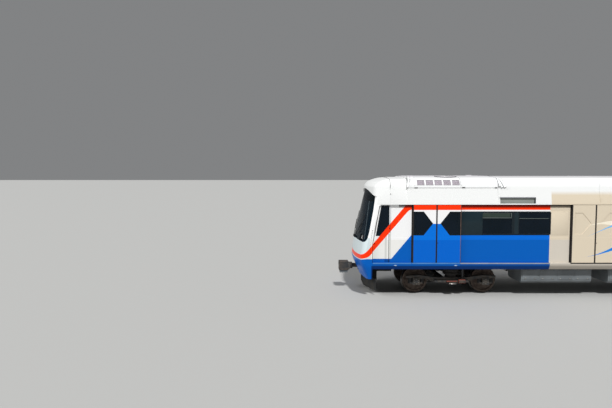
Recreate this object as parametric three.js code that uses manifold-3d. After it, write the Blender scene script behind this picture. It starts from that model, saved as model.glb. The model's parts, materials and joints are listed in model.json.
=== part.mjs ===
// Lead cab car of an elevated metro train, full size, in millimetres, +Z up.
// The cab nose looks along -X, the car's left side is -Y, and Z = 0 is the lowest point of the wheel flanges.
import * as THREE from "three";
import { mergeVertices } from "three/addons/utils/BufferGeometryUtils.js";
import Module from "manifold-3d";

const wasm = await Module();
wasm.setup();

// Driving dimensions. A place "behind the nose" is measured along the car from the tip of the cab nose.
const NOSE_X = -10400;
const CAR_HALF_WIDTH = 1560;
const WALL_FACE = 1485;
const WALL_THICKNESS = 65;
const FLOOR_Z = 1148;
const FLOOR_THICKNESS = 88;
const SILL_BOTTOM_Z = 930;
const CORNICE_Z = 3028;
const CEILING_Z = 3360;
const ROOF_TOP_Z = 3925;
const CAB_ROOF_DROP = 33;
const REAR_WALL = 20900;
const REAR_WALL_THICKNESS = 50;
const SEAT_GAP = 0.3;
const CUT_GAP = 0.5;

const DOOR_FIRST = 2540;
const DOOR_PITCH = 5100;
const DOOR_COUNT = 4;
const DOORWAY_WIDTH = 1400;
const DOORWAY_TOP_Z = 2980;
const LEAF_WIDTH = 772;
const LEAF_MEETING_GAP = 6;

const BOGIE_PLACES = { front: 3150, rear: 18150 };
const WHEELBASE = 2300;
const WHEEL_SEGMENTS = 24;
const FLANGE_RADIUS = 453;
const TREAD_RADIUS = 425;
const AXLE_Z = FLANGE_RADIUS;
const JOURNAL_RADIUS = 65;
const AXLE_END = 1100;

const COUPLER_Z = 800;
const COUPLER_FACE = -500;
const DRAWBAR_FACE = 21300;

const SIDES = { left: -1, right: 1 };

// Finishes of the real pieces.
const finish = (color, roughness, metalness) => new THREE.MeshStandardMaterial({ color, roughness, metalness });
const whitePaint = () => finish(0xf2f3f2, 0.35, 0);
const bluePaint = () => finish(0x0d62bf, 0.35, 0);
const darkGlass = () => finish(0x1c2a33, 0.08, 0);
const greyPaint = () => finish(0x6d7276, 0.6, 0);
const darkSteel = () => finish(0x35383a, 0.6, 0.4);
const wheelSteel = () => finish(0x6b6660, 0.4, 0.9);
const blackRubber = () => finish(0x1a1b1c, 0.8, 0);
const seatBlue = () => finish(0x1f5fa8, 0.55, 0);

// Solids: every geometry becomes a closed body that can be joined and cut.
function solid(geometry) {
  const bare = geometry.index ? geometry.toNonIndexed() : geometry.clone();
  bare.deleteAttribute("normal");
  bare.deleteAttribute("uv");
  const merged = mergeVertices(bare, 1e-3);
  return new wasm.Manifold(
    new wasm.Mesh({
      numProp: 3,
      vertProperties: new Float32Array(merged.attributes.position.array),
      triVerts: new Uint32Array(merged.index.array),
    }),
  );
}

function geometryOf(body) {
  const mesh = body.getMesh();
  return new THREE.BufferGeometry()
    .setAttribute("position", new THREE.BufferAttribute(new Float32Array(mesh.vertProperties), 3))
    .setIndex(new THREE.BufferAttribute(new Uint32Array(mesh.triVerts), 1));
}

const joined = (...bodies) => bodies.reduce((whole, body) => whole.add(body));
const behindNose = (s) => NOSE_X + s;

// A box from its lowest to its highest corner.
function box(x0, x1, y0, y1, z0, z1) {
  const block = new THREE.BoxGeometry(x1 - x0, y1 - y0, z1 - z0);
  return solid(block.translate((x0 + x1) / 2, (y0 + y1) / 2, (z0 + z1) / 2));
}

// A prism of an outline, pushed along one axis: [y, z] pairs along X, [x, z] pairs along Y.
function prism(outline, from, to, axis) {
  const shape = new THREE.Shape(outline.map(([u, v]) => new THREE.Vector2(u, v)));
  const body = new THREE.ExtrudeGeometry(shape, { depth: to - from, bevelEnabled: false });
  if (axis === "x") {
    body.applyMatrix4(new THREE.Matrix4().set(0, 0, 1, from, 1, 0, 0, 0, 0, 1, 0, 0, 0, 0, 0, 1));
  } else {
    body.applyMatrix4(new THREE.Matrix4().set(1, 0, 0, 0, 0, 0, -1, to, 0, 1, 0, 0, 0, 0, 0, 1));
  }
  return solid(body);
}

// A round rod between two places along X, Y or Z, with its other two coordinates given.
function rod(axis, from, to, a, b, radius, sides = 12) {
  const body = new THREE.CylinderGeometry(radius, radius, to - from, sides);
  const middle = (from + to) / 2;
  if (axis === "x") return solid(body.rotateZ(Math.PI / 2).translate(middle, a, b));
  if (axis === "y") return solid(body.translate(a, middle, b));
  return solid(body.rotateX(Math.PI / 2).translate(a, b, middle));
}

// A body of revolution about the Y axis: rows of [radius, y], closed on the axis. A flat faces straight down.
function turned(rows, sides) {
  const reach = 1 / Math.cos(Math.PI / sides);
  const points = rows.map(([radius, y]) => new THREE.Vector2(radius * reach, y));
  const body = new THREE.LatheGeometry(points, sides).rotateY(Math.PI / sides);
  return solid(body);
}

const mirrorOutline = (half) => [...half, ...half.map(([y, z]) => [-y, z]).reverse()];

// An arc of an outline, from one angle to another in degrees, as [y, z] pairs.
function arc(cy, cz, ry, rz, fromDeg, toDeg, steps) {
  return Array.from({ length: steps + 1 }, (_, i) => {
    const angle = THREE.MathUtils.degToRad(fromDeg + ((toDeg - fromDeg) * i) / steps);
    return [cy + ry * Math.cos(angle), cz + rz * Math.sin(angle)];
  });
}

// The car's outer section from the shoulder up, shared by roof, cab, air conditioners and end wall.
const SHOULDER = { y: 1500, z: 3580, radiusY: 330, radiusZ: 300 };
function roofOutline(proud = 0) {
  const { y, z, radiusY, radiusZ } = SHOULDER;
  return [
    [CAR_HALF_WIDTH, CORNICE_Z],
    [CAR_HALF_WIDTH, CORNICE_Z + 60],
    ...arc(y - radiusY, z, radiusY + proud, radiusZ + proud, 0, 80, 5),
    [0.35 * CAR_HALF_WIDTH, ROOF_TOP_Z + proud],
  ];
}

// Cab nose: plan sections at heights. Columns: height, how far the middle of the section lies behind the nose.
const NOSE_ROWS = [
  [600, 190],
  [720, 150],
  [880, 73],
  [1010, 19],
  [1150, -20],
  [1360, 0],
  [1753, 50],
  [3700, 502],
];
const BROW_ROWS = [
  [3250, 365],
  [3569, 412],
  [3614, 433],
  [3667, 474],
  [3733, 543],
  [3778, 648],
  [3823, 787],
  [3858, 926],
  [3895, 1200],
];
const NOSE_BOW = 170;
const NOSE_CORNER = { across: 260, along: 170 };
const NOSE_WALL = 90;
const RING_SEAM = 1050;
const CAB_CAVITY_TOP = 3340;
const CAB_FLOOR_START = 215;

// A closed loft of the nose between its rows, moved inwards by an inset.
function noseLoft(rows, inset, back) {
  const steps = 6;
  const half = (z, tip) => {
    const width = CAR_HALF_WIDTH + 20 - inset;
    const start = width - NOSE_CORNER.across;
    const at = (y, extra) => [behindNose(tip + inset + NOSE_BOW * (y / width) ** 2 + extra), y, z];
    const front = [0, 0.4, 0.75].map((share) => at(share * start, 0));
    const corner = Array.from({ length: steps + 1 }, (_, i) => {
      const angle = (i / steps) * (Math.PI / 2);
      const along = NOSE_CORNER.along * (1 - Math.cos(angle));
      return at(start + NOSE_CORNER.across * Math.sin(angle), along);
    });
    return [...front, ...corner, [behindNose(back), width, z]];
  };
  const rings = rows.map(([z, tip]) => {
    const right = half(z, tip);
    const left = right.slice(1).map(([x, y, h]) => [x, -y, h]);
    return [...right, ...left.reverse()];
  });
  return loft(rings);
}

// A closed body through rings of the same number of points, each ring flat and one above the other.
function loft(rings) {
  const flat = (ring) => ring.map(([x, y]) => new THREE.Vector2(x, y));
  const anticlockwise = THREE.ShapeUtils.area(flat(rings[0])) > 0;
  const rows = anticlockwise ? rings : rings.map((ring) => [...ring].reverse());
  const count = rows[0].length;
  const corners = [];
  rows.slice(1).forEach((upper, r) => {
    const lower = rows[r];
    lower.forEach((_, i) => {
      const j = (i + 1) % count;
      corners.push(lower[i], lower[j], upper[j], lower[i], upper[j], upper[i]);
    });
  });
  const [bottom, top] = [rows[0], rows.at(-1)];
  for (const [a, b, c] of THREE.ShapeUtils.triangulateShape(flat(bottom), [])) corners.push(bottom[a], bottom[c], bottom[b]);
  for (const [a, b, c] of THREE.ShapeUtils.triangulateShape(flat(top), [])) corners.push(top[a], top[b], top[c]);
  const body = new THREE.BufferGeometry();
  body.setAttribute("position", new THREE.Float32BufferAttribute(corners.flat(), 3));
  return solid(body);
}

// The slanted joint between cab mask and side wall, seen from the side. Columns: behind the nose, height.
const CAB_SEAM = [
  [484, 560],
  [484, 1212],
  [489, 1805],
  [555, 2332],
  [733, CORNICE_Z],
];

// Rear edge of the wraparound windscreen, seen from the side. Columns: behind the nose, height.
const SCREEN_REAR = [
  [190, 1800],
  [245, 1825],
  [295, 1880],
  [330, 1950],
  [380, 2145],
  [512, 2857],
  [590, 3400],
];
const SCREEN_FOOT_Z = 1800;
const SCREEN_TOP_MIDDLE_Z = 3510;
const SCREEN_TOP_SIDE_Z = 3300;

// What the windscreen fills, less a gap all round.
function screenOpening(gap) {
  const front = behindNose(-200);
  const side = SCREEN_REAR.map(([s, z]) => [behindNose(s) - gap, Math.max(z, SCREEN_FOOT_Z + gap)]);
  const top = [behindNose(590) - gap, 3700];
  const fromSide = prism([[front, SCREEN_FOOT_Z + gap], ...side, top, [front, 3700]], -1700, 1700, "y");
  const arched = Array.from({ length: 13 }, (_, i) => {
    const y = 1620 * (1 - i / 6);
    return [y, archHeight(y) - gap];
  });
  const fromFront = prism([[-1620, 1600], [1620, 1600], ...arched], front, behindNose(900), "x");
  return fromSide.intersect(fromFront);
}

const archHeight = (y) =>
  SCREEN_TOP_MIDDLE_Z - (SCREEN_TOP_MIDDLE_Z - SCREEN_TOP_SIDE_Z) * (y / (CAR_HALF_WIDTH - 60)) ** 2;

// Cab mask: one moulded shell, from the nose skirt to the brow over the windscreen and back to the ring seam.
function cabMask() {
  const skirt = [
    [1470, 560],
    [1535, 930],
    [CAR_HALF_WIDTH, 1050],
  ];
  const section = mirrorOutline([...skirt, ...roofOutline(-CAB_ROOF_DROP)]);
  const envelope = prism(section, behindNose(-200), behindNose(RING_SEAM), "x");
  const arched = Array.from({ length: 13 }, (_, i) => {
    const y = 1620 * (i / 6 - 1);
    return [y, archHeight(y)];
  });
  const aboveArch = prism([...arched, [1620, 4000], [-1620, 4000]], behindNose(-200), behindNose(1200), "x");
  const brow = noseLoft(BROW_ROWS, 0, 1700).intersect(aboveArch);
  const shell = noseLoft(NOSE_ROWS, 0, 1700).add(brow).intersect(envelope);
  const cavityRows = [[500, 190], ...NOSE_ROWS.slice(0, -1), [CAB_CAVITY_TOP, 418]];
  const cavity = noseLoft(cavityRows, NOSE_WALL, 1700);
  const screen = screenOpening(0).subtract(noseLoft(NOSE_ROWS, 60, 1700));
  const seam = CAB_SEAM.map(([s, z]) => [behindNose(s), z]);
  const behindSeam = prism([...seam, [behindNose(1300), CORNICE_Z], [behindNose(1300), 560]], -1700, 1700, "y");
  const couplerNotch = box(behindNose(-200), behindNose(480), -250, 250, 500, 985);
  return shell.subtract(cavity).subtract(screen).subtract(behindSeam).subtract(couplerNotch);
}

function windscreen() {
  const sheet = noseLoft(NOSE_ROWS, 8, 1700).subtract(noseLoft(NOSE_ROWS, 28, 1720));
  return sheet.intersect(screenOpening(CUT_GAP));
}

// Side walls: one panel from cab seam to rear end, with doorways and window openings.
const WINDOW = { foot: 2061, top: 2785, halfWidth: 1140, pillar: 120, transomZ: 2578 };
const QUARTER_WINDOW = { from: 19330, to: 20350 };
const CAB_WINDOW = [
  [637, 2060],
  [655, 2036],
  [728, 2036],
  [1010, 2372],
  [1010, 3000],
  [778, 3000],
  [628, 2143],
];
const doorCentre = (i) => DOOR_FIRST + i * DOOR_PITCH;
const doorNumbers = Array.from({ length: DOOR_COUNT }, (_, i) => i);

const windowPlaces = [
  ...doorNumbers.slice(1).map((i) => {
    const middle = doorCentre(i) - DOOR_PITCH / 2;
    return { name: "window_" + i, from: middle - WINDOW.halfWidth, to: middle + WINDOW.halfWidth, pillar: true };
  }),
  { name: "window_" + DOOR_COUNT, ...QUARTER_WINDOW, pillar: false },
];

const inner = WALL_FACE - WALL_THICKNESS;

function cabWindowOutline(inset) {
  const places = CAB_WINDOW.map(([s, z]) => new THREE.Vector2(behindNose(s), z));
  const middle = places.reduce((sum, p) => sum.add(p), new THREE.Vector2()).divideScalar(places.length);
  return places.map((p) => {
    const towards = middle.clone().sub(p);
    return p.clone().add(towards.setLength(inset)).toArray();
  });
}

function sideWall(side) {
  const seam = CAB_SEAM.slice(1).map(([s, z]) => [behindNose(s) + CUT_GAP, z - SEAT_GAP]);
  seam[0][1] = FLOOR_Z + SEAT_GAP;
  const rear = behindNose(REAR_WALL) - SEAT_GAP;
  const outline = [...seam, [rear, CORNICE_Z - SEAT_GAP], [rear, FLOOR_Z + SEAT_GAP]];
  let wall = prism(outline, inner, WALL_FACE, "y");
  const through = (x0, x1, z0, z1) => box(x0, x1, inner - 20, WALL_FACE + 20, z0, z1);
  for (const i of doorNumbers) {
    const middle = behindNose(doorCentre(i));
    const half = DOORWAY_WIDTH / 2;
    wall = wall.subtract(through(middle - half, middle + half, FLOOR_Z - 20, DOORWAY_TOP_Z));
  }
  for (const { from, to } of windowPlaces) {
    wall = wall.subtract(through(behindNose(from), behindNose(to), WINDOW.foot, WINDOW.top));
  }
  wall = wall.subtract(prism(cabWindowOutline(0), inner - 20, WALL_FACE + 20, "y"));
  return side > 0 ? wall : wall.mirror([0, 1, 0]);
}

// Glazing between two doorways: a frame with its middle pillar and transoms, and thin panes let into it.
function windowUnit({ from, to, pillar }, side) {
  const x0 = behindNose(from) + CUT_GAP;
  const x1 = behindNose(to) - CUT_GAP;
  const z0 = WINDOW.foot + CUT_GAP;
  const z1 = WINDOW.top - CUT_GAP;
  const middle = (x0 + x1) / 2;
  const frame = 22;
  const paneFace = WALL_FACE - 14;
  const paneBack = WALL_FACE - 26;
  let unit = box(x0, x1, WALL_FACE - 50, WALL_FACE + 2, z0, z1);
  const bays = pillar
    ? [[x0 + frame, middle - WINDOW.pillar], [middle + WINDOW.pillar, x1 - frame]]
    : [[x0 + frame, x1 - frame]];
  for (const [a, b] of bays) {
    for (const [low, high] of [[z0 + frame, WINDOW.transomZ - 12], [WINDOW.transomZ + 12, z1 - frame]]) {
      unit = unit.subtract(box(a, b, paneFace, WALL_FACE + 20, low, high));
      unit = unit.subtract(box(a, b, WALL_FACE - 70, paneBack, low, high));
    }
  }
  return side > 0 ? unit : unit.mirror([0, 1, 0]);
}

function cabSideWindow(side) {
  const pane = prism(cabWindowOutline(1), WALL_FACE - 30, WALL_FACE - 4, "y");
  return side > 0 ? pane : pane.mirror([0, 1, 0]);
}

// Obstacle deflector below the nose: a ploughed plate on two brackets from the front draft box.
const DEFLECTOR = { foot: 180, top: 560, tip: 330, end: 620, halfWidth: 1240, plate: 30 };
function deflector() {
  const { foot, top, tip, end, halfWidth, plate } = DEFLECTOR;
  const nose = [
    [behindNose(end), -halfWidth],
    [behindNose(tip), -450],
    [behindNose(tip), 450],
    [behindNose(end), halfWidth],
  ];
  const behind = nose.map(([x, y]) => [x + plate, y]).reverse();
  const shape = new THREE.Shape([...nose, ...behind].map(([x, y]) => new THREE.Vector2(x, y)));
  const wall = solid(new THREE.ExtrudeGeometry(shape, { depth: top - foot, bevelEnabled: false }).translate(0, 0, foot));
  const bracket = (y) => box(behindNose(tip) + 5, behindNose(800), y - 20, y + 20, 330, 700);
  return joined(wall, bracket(-260), bracket(260));
}

// Underframe: floor with side sills, cross members, body bolsters and draft boxes at both ends.
function underframe() {
  const sill = [
    [1300, SILL_BOTTOM_Z],
    [1490, SILL_BOTTOM_Z],
    [CAR_HALF_WIDTH, 1050],
    [CAR_HALF_WIDTH, FLOOR_Z],
  ];
  const floorBottom = FLOOR_Z - FLOOR_THICKNESS;
  const section = mirrorOutline([[1300, floorBottom], ...sill]);
  const start = behindNose(CAB_SEAM[0][0]) + CUT_GAP;
  const rear = behindNose(REAR_WALL) - SEAT_GAP;
  let frame = prism(section, start, rear, "x");
  frame = frame.add(box(behindNose(CAB_FLOOR_START), start + 5, -1150, 1150, floorBottom, FLOOR_Z));
  for (let s = 5600; s < 16000; s += 1220) {
    frame = frame.add(box(behindNose(s) - 50, behindNose(s) + 50, -1310, 1310, 960, floorBottom + 5));
  }
  for (const place of Object.values(BOGIE_PLACES)) {
    const x = behindNose(place);
    frame = frame.add(box(x - 280, x + 280, -1310, 1310, 1035, floorBottom + 5));
  }
  const draft = (x0, x1) => box(x0, x1, -300, 300, 640, floorBottom + 5);
  const pocket = (x0, x1) => box(x0, x1, -150, 150, COUPLER_Z - 110, COUPLER_Z + 110);
  frame = frame.add(draft(behindNose(300), behindNose(1300)));
  frame = frame.subtract(pocket(behindNose(250), behindNose(960)));
  frame = frame.add(deflector());
  frame = frame.add(draft(behindNose(19900), rear - 5));
  frame = frame.subtract(pocket(behindNose(20240), rear + 20));
  return frame;
}

// Roof: cornice, side fascia, rounded shoulders and ceiling, with a well for each air conditioner.
const AC_PLACES = { front: [1600, 4590], rear: [15790, 18780] };
const AC_WELL_Z = 3570;
const AC_PROUD = 15;
const WELL_FRONT = { clear: 40, lean: 60 };
const WELL_REAR = { clear: 170, lean: 140 };
const FAN = { along: 1360, y: 880, radius: 345, foot: 3850, top: 3938 };
const LUG_TOP_Z = 3952;
const LOUVRE = { count: 5, first: 305, pitch: 282, width: 236, back: 1392, foot: 3648, top: 3812 };
const DISPLAY = { from: 4560, to: 5680, foot: 3065, top: 3245, back: 1515 };

// Ceiling line of the saloon, from the wall to the flat middle. Columns: distance from the middle, height.
const CEILING = [
  [1410, CORNICE_Z],
  [1385, 3190],
  [1160, 3325],
  [500, CEILING_Z],
];
const ceilingHeight = (y) => {
  const [low, high] = [CEILING[2], CEILING[3]];
  return low[1] + ((high[1] - low[1]) * (low[0] - y)) / (low[0] - high[0]);
};

function roofShell() {
  const underside = [...CEILING.map(([y, z]) => [-y, z]), ...[...CEILING].reverse()];
  const section = (drop) => [...mirrorOutline(roofOutline(-drop)), ...underside];
  const start = behindNose(RING_SEAM) + CUT_GAP;
  const full = behindNose(AC_PLACES.front[0]);
  let roof = prism(section(0), full, behindNose(REAR_WALL) - SEAT_GAP, "x");
  roof = roof.add(prism(section(CAB_ROOF_DROP), start, full + 5, "x"));
  for (const [from, to] of Object.values(AC_PLACES)) {
    const well = [
      [behindNose(from) - WELL_FRONT.clear, AC_WELL_Z],
      [behindNose(to) + WELL_REAR.clear, AC_WELL_Z],
      [behindNose(to) + WELL_REAR.clear - WELL_REAR.lean, 4000],
      [behindNose(from) - WELL_FRONT.clear + WELL_FRONT.lean, 4000],
    ];
    roof = roof.subtract(prism(well, -1700, 1700, "y"));
  }
  const { from, to, foot, top, back } = DISPLAY;
  for (const side of Object.values(SIDES)) {
    const y = [side * back, side * (CAR_HALF_WIDTH + 20)].sort((a, b) => a - b);
    roof = roof.subtract(box(behindNose(from), behindNose(to), ...y, foot, top));
  }
  return roof;
}

// Air conditioner: a cover on the roof's own outline, louvred sides, two fan rings and two lifting lugs on top.
function airConditioner([from, to]) {
  const half = roofOutline(AC_PROUD).filter(([, z]) => z > AC_WELL_Z);
  const foot = [[half[0][0], AC_WELL_Z + SEAT_GAP]];
  const x0 = behindNose(from);
  const x1 = behindNose(to);
  let unit = prism(mirrorOutline([...foot, ...half]), x0, x1, "x");
  const endSlope = (x, lean) =>
    prism([[x, AC_WELL_Z], [x + lean, 4000], [x - lean, 4000], [x - lean, AC_WELL_Z]], -1700, 1700, "y");
  unit = unit.subtract(endSlope(x1, -130)).subtract(endSlope(x0, 200));
  for (const side of Object.values(SIDES)) {
    for (let i = 0; i < LOUVRE.count; i++) {
      const louvre = x0 + LOUVRE.first + i * LOUVRE.pitch;
      const y = [side * LOUVRE.back, side * 1600].sort((a, b) => a - b);
      unit = unit.subtract(box(louvre, louvre + LOUVRE.width, ...y, LOUVRE.foot, LOUVRE.top));
    }
  }
  const fanX = x0 + FAN.along;
  for (const side of Object.values(SIDES)) {
    const ring = rod("z", FAN.foot, FAN.top, fanX, side * FAN.y, FAN.radius, 20);
    unit = unit.add(ring).subtract(rod("z", FAN.foot + 12, FAN.top + 20, fanX, side * FAN.y, FAN.radius - 35, 20));
  }
  const nearLug = box(x0 + 40, x0 + 220, -1180, -1040, 3800, LUG_TOP_Z);
  const farLug = box(x1 - 330, x1 - 150, 1040, 1180, 3800, LUG_TOP_Z);
  return unit.add(nearLug).add(farLug);
}

// Rear end: a plate of the car's whole outline with the passage cut, and the folded gangway beyond it.
const PASSAGE = { halfWidth: 650, foot: 1150, top: 3150 };

function rearEndWall() {
  const low = [
    [1490, SILL_BOTTOM_Z],
    [CAR_HALF_WIDTH, 1050],
  ];
  const x0 = behindNose(REAR_WALL);
  const plate = prism(mirrorOutline([...low, ...roofOutline()]), x0, x0 + REAR_WALL_THICKNESS, "x");
  const { halfWidth, foot, top } = PASSAGE;
  const passage = box(x0 - 20, x0 + 80, -halfWidth, halfWidth, foot, top);
  return plate.subtract(passage).subtract(box(x0 - 20, x0 + 80, -310, 310, 800, 1050));
}

function gangwayBellows() {
  const { halfWidth, foot, top } = PASSAGE;
  const folds = 5;
  const start = behindNose(REAR_WALL + REAR_WALL_THICKNESS) + SEAT_GAP;
  const pitch = 250 / (folds * 2);
  const ring = (x0, x1, reach) =>
    box(x0, x1, -halfWidth - reach, halfWidth + reach, foot - reach * 0.4, top + reach);
  let bellows = ring(start, start + 250, 95);
  for (let i = 0; i < folds; i++) {
    const x = start + i * 2 * pitch;
    bellows = bellows.add(ring(x, x + pitch, 150));
  }
  return bellows.subtract(box(start - 20, start + 300, -halfWidth, halfWidth, foot + 20, top));
}

// Couplers: an automatic head on its shank in front, a plain drawbar behind.
function frontCoupler() {
  const tip = behindNose(COUPLER_FACE);
  const shank = rod("x", tip + 300, behindNose(960) - SEAT_GAP, 0, COUPLER_Z, 75, 14);
  const head = box(tip, tip + 330, -190, 190, COUPLER_Z - 150, COUPLER_Z + 150);
  const funnel = box(tip - 1, tip + 90, 40, 140, COUPLER_Z - 90, COUPLER_Z + 90);
  const neck = box(tip + 320, tip + 470, -110, 110, COUPLER_Z - 100, COUPLER_Z + 100);
  const collar = box(behindNose(860), behindNose(960) - SEAT_GAP, -140, 140, COUPLER_Z - 100, COUPLER_Z + 100);
  return joined(head.subtract(funnel), shank, neck, collar);
}

function rearDrawbar() {
  const end = behindNose(DRAWBAR_FACE);
  const bar = rod("x", behindNose(20240) + SEAT_GAP, end - 40, 0, COUPLER_Z, 75, 14);
  const plate = box(end - 50, end, -150, 150, COUPLER_Z - 130, COUPLER_Z + 130);
  const x = behindNose(20240) + SEAT_GAP;
  return joined(bar, plate, box(x, x + 100, -140, 140, COUPLER_Z - 100, COUPLER_Z + 100));
}

// Door leaf: a flat panel flush with sill and cornice, a five-sided window, and guide shoes on the sill ledge.
const LEAF = { face: 1556, back: 1500, foot: FLOOR_Z + 8, top: 3020 };
const LEAF_WINDOW = { edge: 345, shoulder: 96, point: 640, foot: 2082, top: 2764 };

function doorLeaf(end, side) {
  const from = LEAF_MEETING_GAP / 2;
  let leaf = box(from, from + LEAF_WIDTH, LEAF.back, LEAF.face, LEAF.foot, LEAF.top);
  const outer = from + LEAF_WIDTH;
  const middleZ = (LEAF_WINDOW.foot + LEAF_WINDOW.top) / 2;
  const pane = [
    [outer - LEAF_WINDOW.shoulder, LEAF_WINDOW.foot],
    [outer - LEAF_WINDOW.shoulder, LEAF_WINDOW.top],
    [outer - LEAF_WINDOW.edge, LEAF_WINDOW.top],
    [outer - LEAF_WINDOW.point, middleZ],
    [outer - LEAF_WINDOW.edge, LEAF_WINDOW.foot],
  ];
  leaf = leaf.subtract(prism(pane, LEAF.face - 12, LEAF.face + 10, "y"));
  leaf = leaf.subtract(prism(pane, LEAF.back - 10, LEAF.face - 24, "y"));
  for (const x of [from + 60, outer - 140]) {
    leaf = leaf.add(box(x, x + 80, LEAF.back + 15, LEAF.face - 15, FLOOR_Z + SEAT_GAP, LEAF.foot + 5));
  }
  if (end < 0) leaf = leaf.mirror([1, 0, 0]);
  return side > 0 ? leaf : leaf.mirror([0, 1, 0]);
}

// Cab: desk behind the screen, driver's seat, and the partition with its hinged door.
const DESK_FRONT = 420;
function driverDesk() {
  const profile = [
    [behindNose(DESK_FRONT), FLOOR_Z + SEAT_GAP],
    [behindNose(820), FLOOR_Z + SEAT_GAP],
    [behindNose(820), 1700],
    [behindNose(930), 1850],
    [behindNose(860), 1900],
    [behindNose(520), 2010],
    [behindNose(DESK_FRONT), 1960],
  ];
  const desk = prism(profile, -1250, 1250, "y");
  const knees = box(behindNose(560), behindNose(900), -330, 330, FLOOR_Z - 10, 1720);
  return desk.subtract(knees);
}

function driverSeat() {
  const x = behindNose(1270);
  const post = rod("z", FLOOR_Z + SEAT_GAP, 1560, x, 0, 60, 12);
  const base = rod("z", FLOOR_Z + SEAT_GAP, FLOOR_Z + 30, x, 0, 190, 16);
  const cushion = box(x - 240, x + 220, -240, 240, 1550, 1660);
  const back = box(x + 130, x + 230, -230, 230, 1600, 2250);
  return joined(base, post, cushion, back);
}

const PARTITION = { from: 1600, to: 1640, doorHalf: 310, doorTop: 3050, hingeY: 270 };
function cabPartition() {
  const gap = 3;
  const half = [
    [inner - gap, FLOOR_Z + SEAT_GAP],
    [inner - gap, CORNICE_Z - gap],
    [CEILING[0][0] - gap, CORNICE_Z - gap],
    [CEILING[1][0] - gap, CEILING[1][1]],
    [CEILING[2][0], CEILING[2][1] - gap],
    [CEILING[3][0], CEILING_Z - SEAT_GAP],
  ];
  const x0 = behindNose(PARTITION.from);
  const x1 = behindNose(PARTITION.to);
  const panel = prism(mirrorOutline(half), x0, x1, "x");
  return panel.subtract(box(x0 - 10, x1 + 10, -PARTITION.doorHalf, PARTITION.doorHalf, FLOOR_Z - 5, PARTITION.doorTop));
}

function cabDoor() {
  const x0 = behindNose(PARTITION.from);
  const x1 = behindNose(PARTITION.to);
  const half = PARTITION.doorHalf;
  const leaf = box(x0 + 2, x1 - 2, -half + 6, half - 12, FLOOR_Z + 8, PARTITION.doorTop - 8);
  const window = box(x0 + 14, x1 - 14, -half + 90, half - 90, 2150, 2850);
  const outside = box(x0 - 10, x1 + 10, -half + 90, half - 90, 2150, 2850);
  const pintle = rod("z", FLOOR_Z + SEAT_GAP, FLOOR_Z + 20, (x0 + x1) / 2, PARTITION.hingeY, 12, 10);
  return joined(leaf.subtract(outside), window, pintle);
}

// Saloon: benches along each wall, stanchions at their ends, and the grab rail that ties them together.
const BENCH_DEPTH = 415;
const RAIL = { y: 960, z: 2960, radius: 17 };
function seatsAndRails(side) {
  const wallY = inner - SEAT_GAP - 1;
  const section = [
    [wallY, 1330],
    [wallY, 1990],
    [wallY - 60, 1990],
    [wallY - 95, 1600],
    [wallY - BENCH_DEPTH, 1590],
    [wallY - BENCH_DEPTH, 1520],
    [wallY - 150, 1330],
  ];
  const benches = [
    ...doorNumbers.slice(1).map((i) => {
      const middle = doorCentre(i) - DOOR_PITCH / 2;
      return [middle - 1560, middle + 1560];
    }),
    [18900, 20560],
  ];
  const poleY = wallY - BENCH_DEPTH + 10;
  const poleTop = ceilingHeight(poleY + RAIL.radius) - SEAT_GAP;
  let set = rod("x", behindNose(2100), behindNose(20500), RAIL.y, RAIL.z, RAIL.radius, 8);
  for (const [from, to] of benches) {
    set = set.add(prism(section, behindNose(from), behindNose(to), "x"));
    for (const s of [from + 20, to - 20]) {
      const x = behindNose(s);
      set = set.add(rod("z", FLOOR_Z + SEAT_GAP, poleTop, x, poleY, RAIL.radius, 8));
      set = set.add(box(x - 14, x + 14, RAIL.y - 10, poleY, RAIL.z - 10, RAIL.z + 10));
    }
  }
  return side > 0 ? set : set.mirror([0, 1, 0]);
}

// Equipment hung under the floor. Columns: name, behind the nose from and to, side from and to, lowest height.
const EQUIPMENT = [
  ["traction_inverter", 5400, 7700, -1290, -180, 440],
  ["brake_resistor", 5500, 7400, 250, 1290, 520],
  ["auxiliary_converter", 8250, 10600, -1290, -250, 430],
  ["battery_box", 8100, 9800, 350, 1290, 560],
  ["air_compressor", 10500, 12000, 250, 1290, 500],
  ["line_reactor", 12400, 14100, -1290, -200, 520],
];
function equipmentBox([, from, to, y0, y1, z0]) {
  const top = 960 - SEAT_GAP;
  const bevel = 70;
  const outline = [
    [y0 + bevel, z0],
    [y1 - bevel, z0],
    [y1, z0 + bevel],
    [y1, top - 60],
    [y1 - 60, top],
    [y0 + 60, top],
    [y0, top - 60],
    [y0, z0 + bevel],
  ];
  let body = prism(outline, behindNose(from), behindNose(to), "x");
  const lidFace = y0 < 0 ? [y0 - 12, y0 + 20] : [y1 - 20, y1 + 12];
  const count = Math.round((to - from) / 600);
  const width = (to - from) / count;
  for (let i = 0; i < count; i++) {
    const x = behindNose(from) + i * width;
    body = body.add(box(x + 40, x + width - 40, ...lidFace, z0 + 110, top - 90));
  }
  return body;
}

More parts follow.
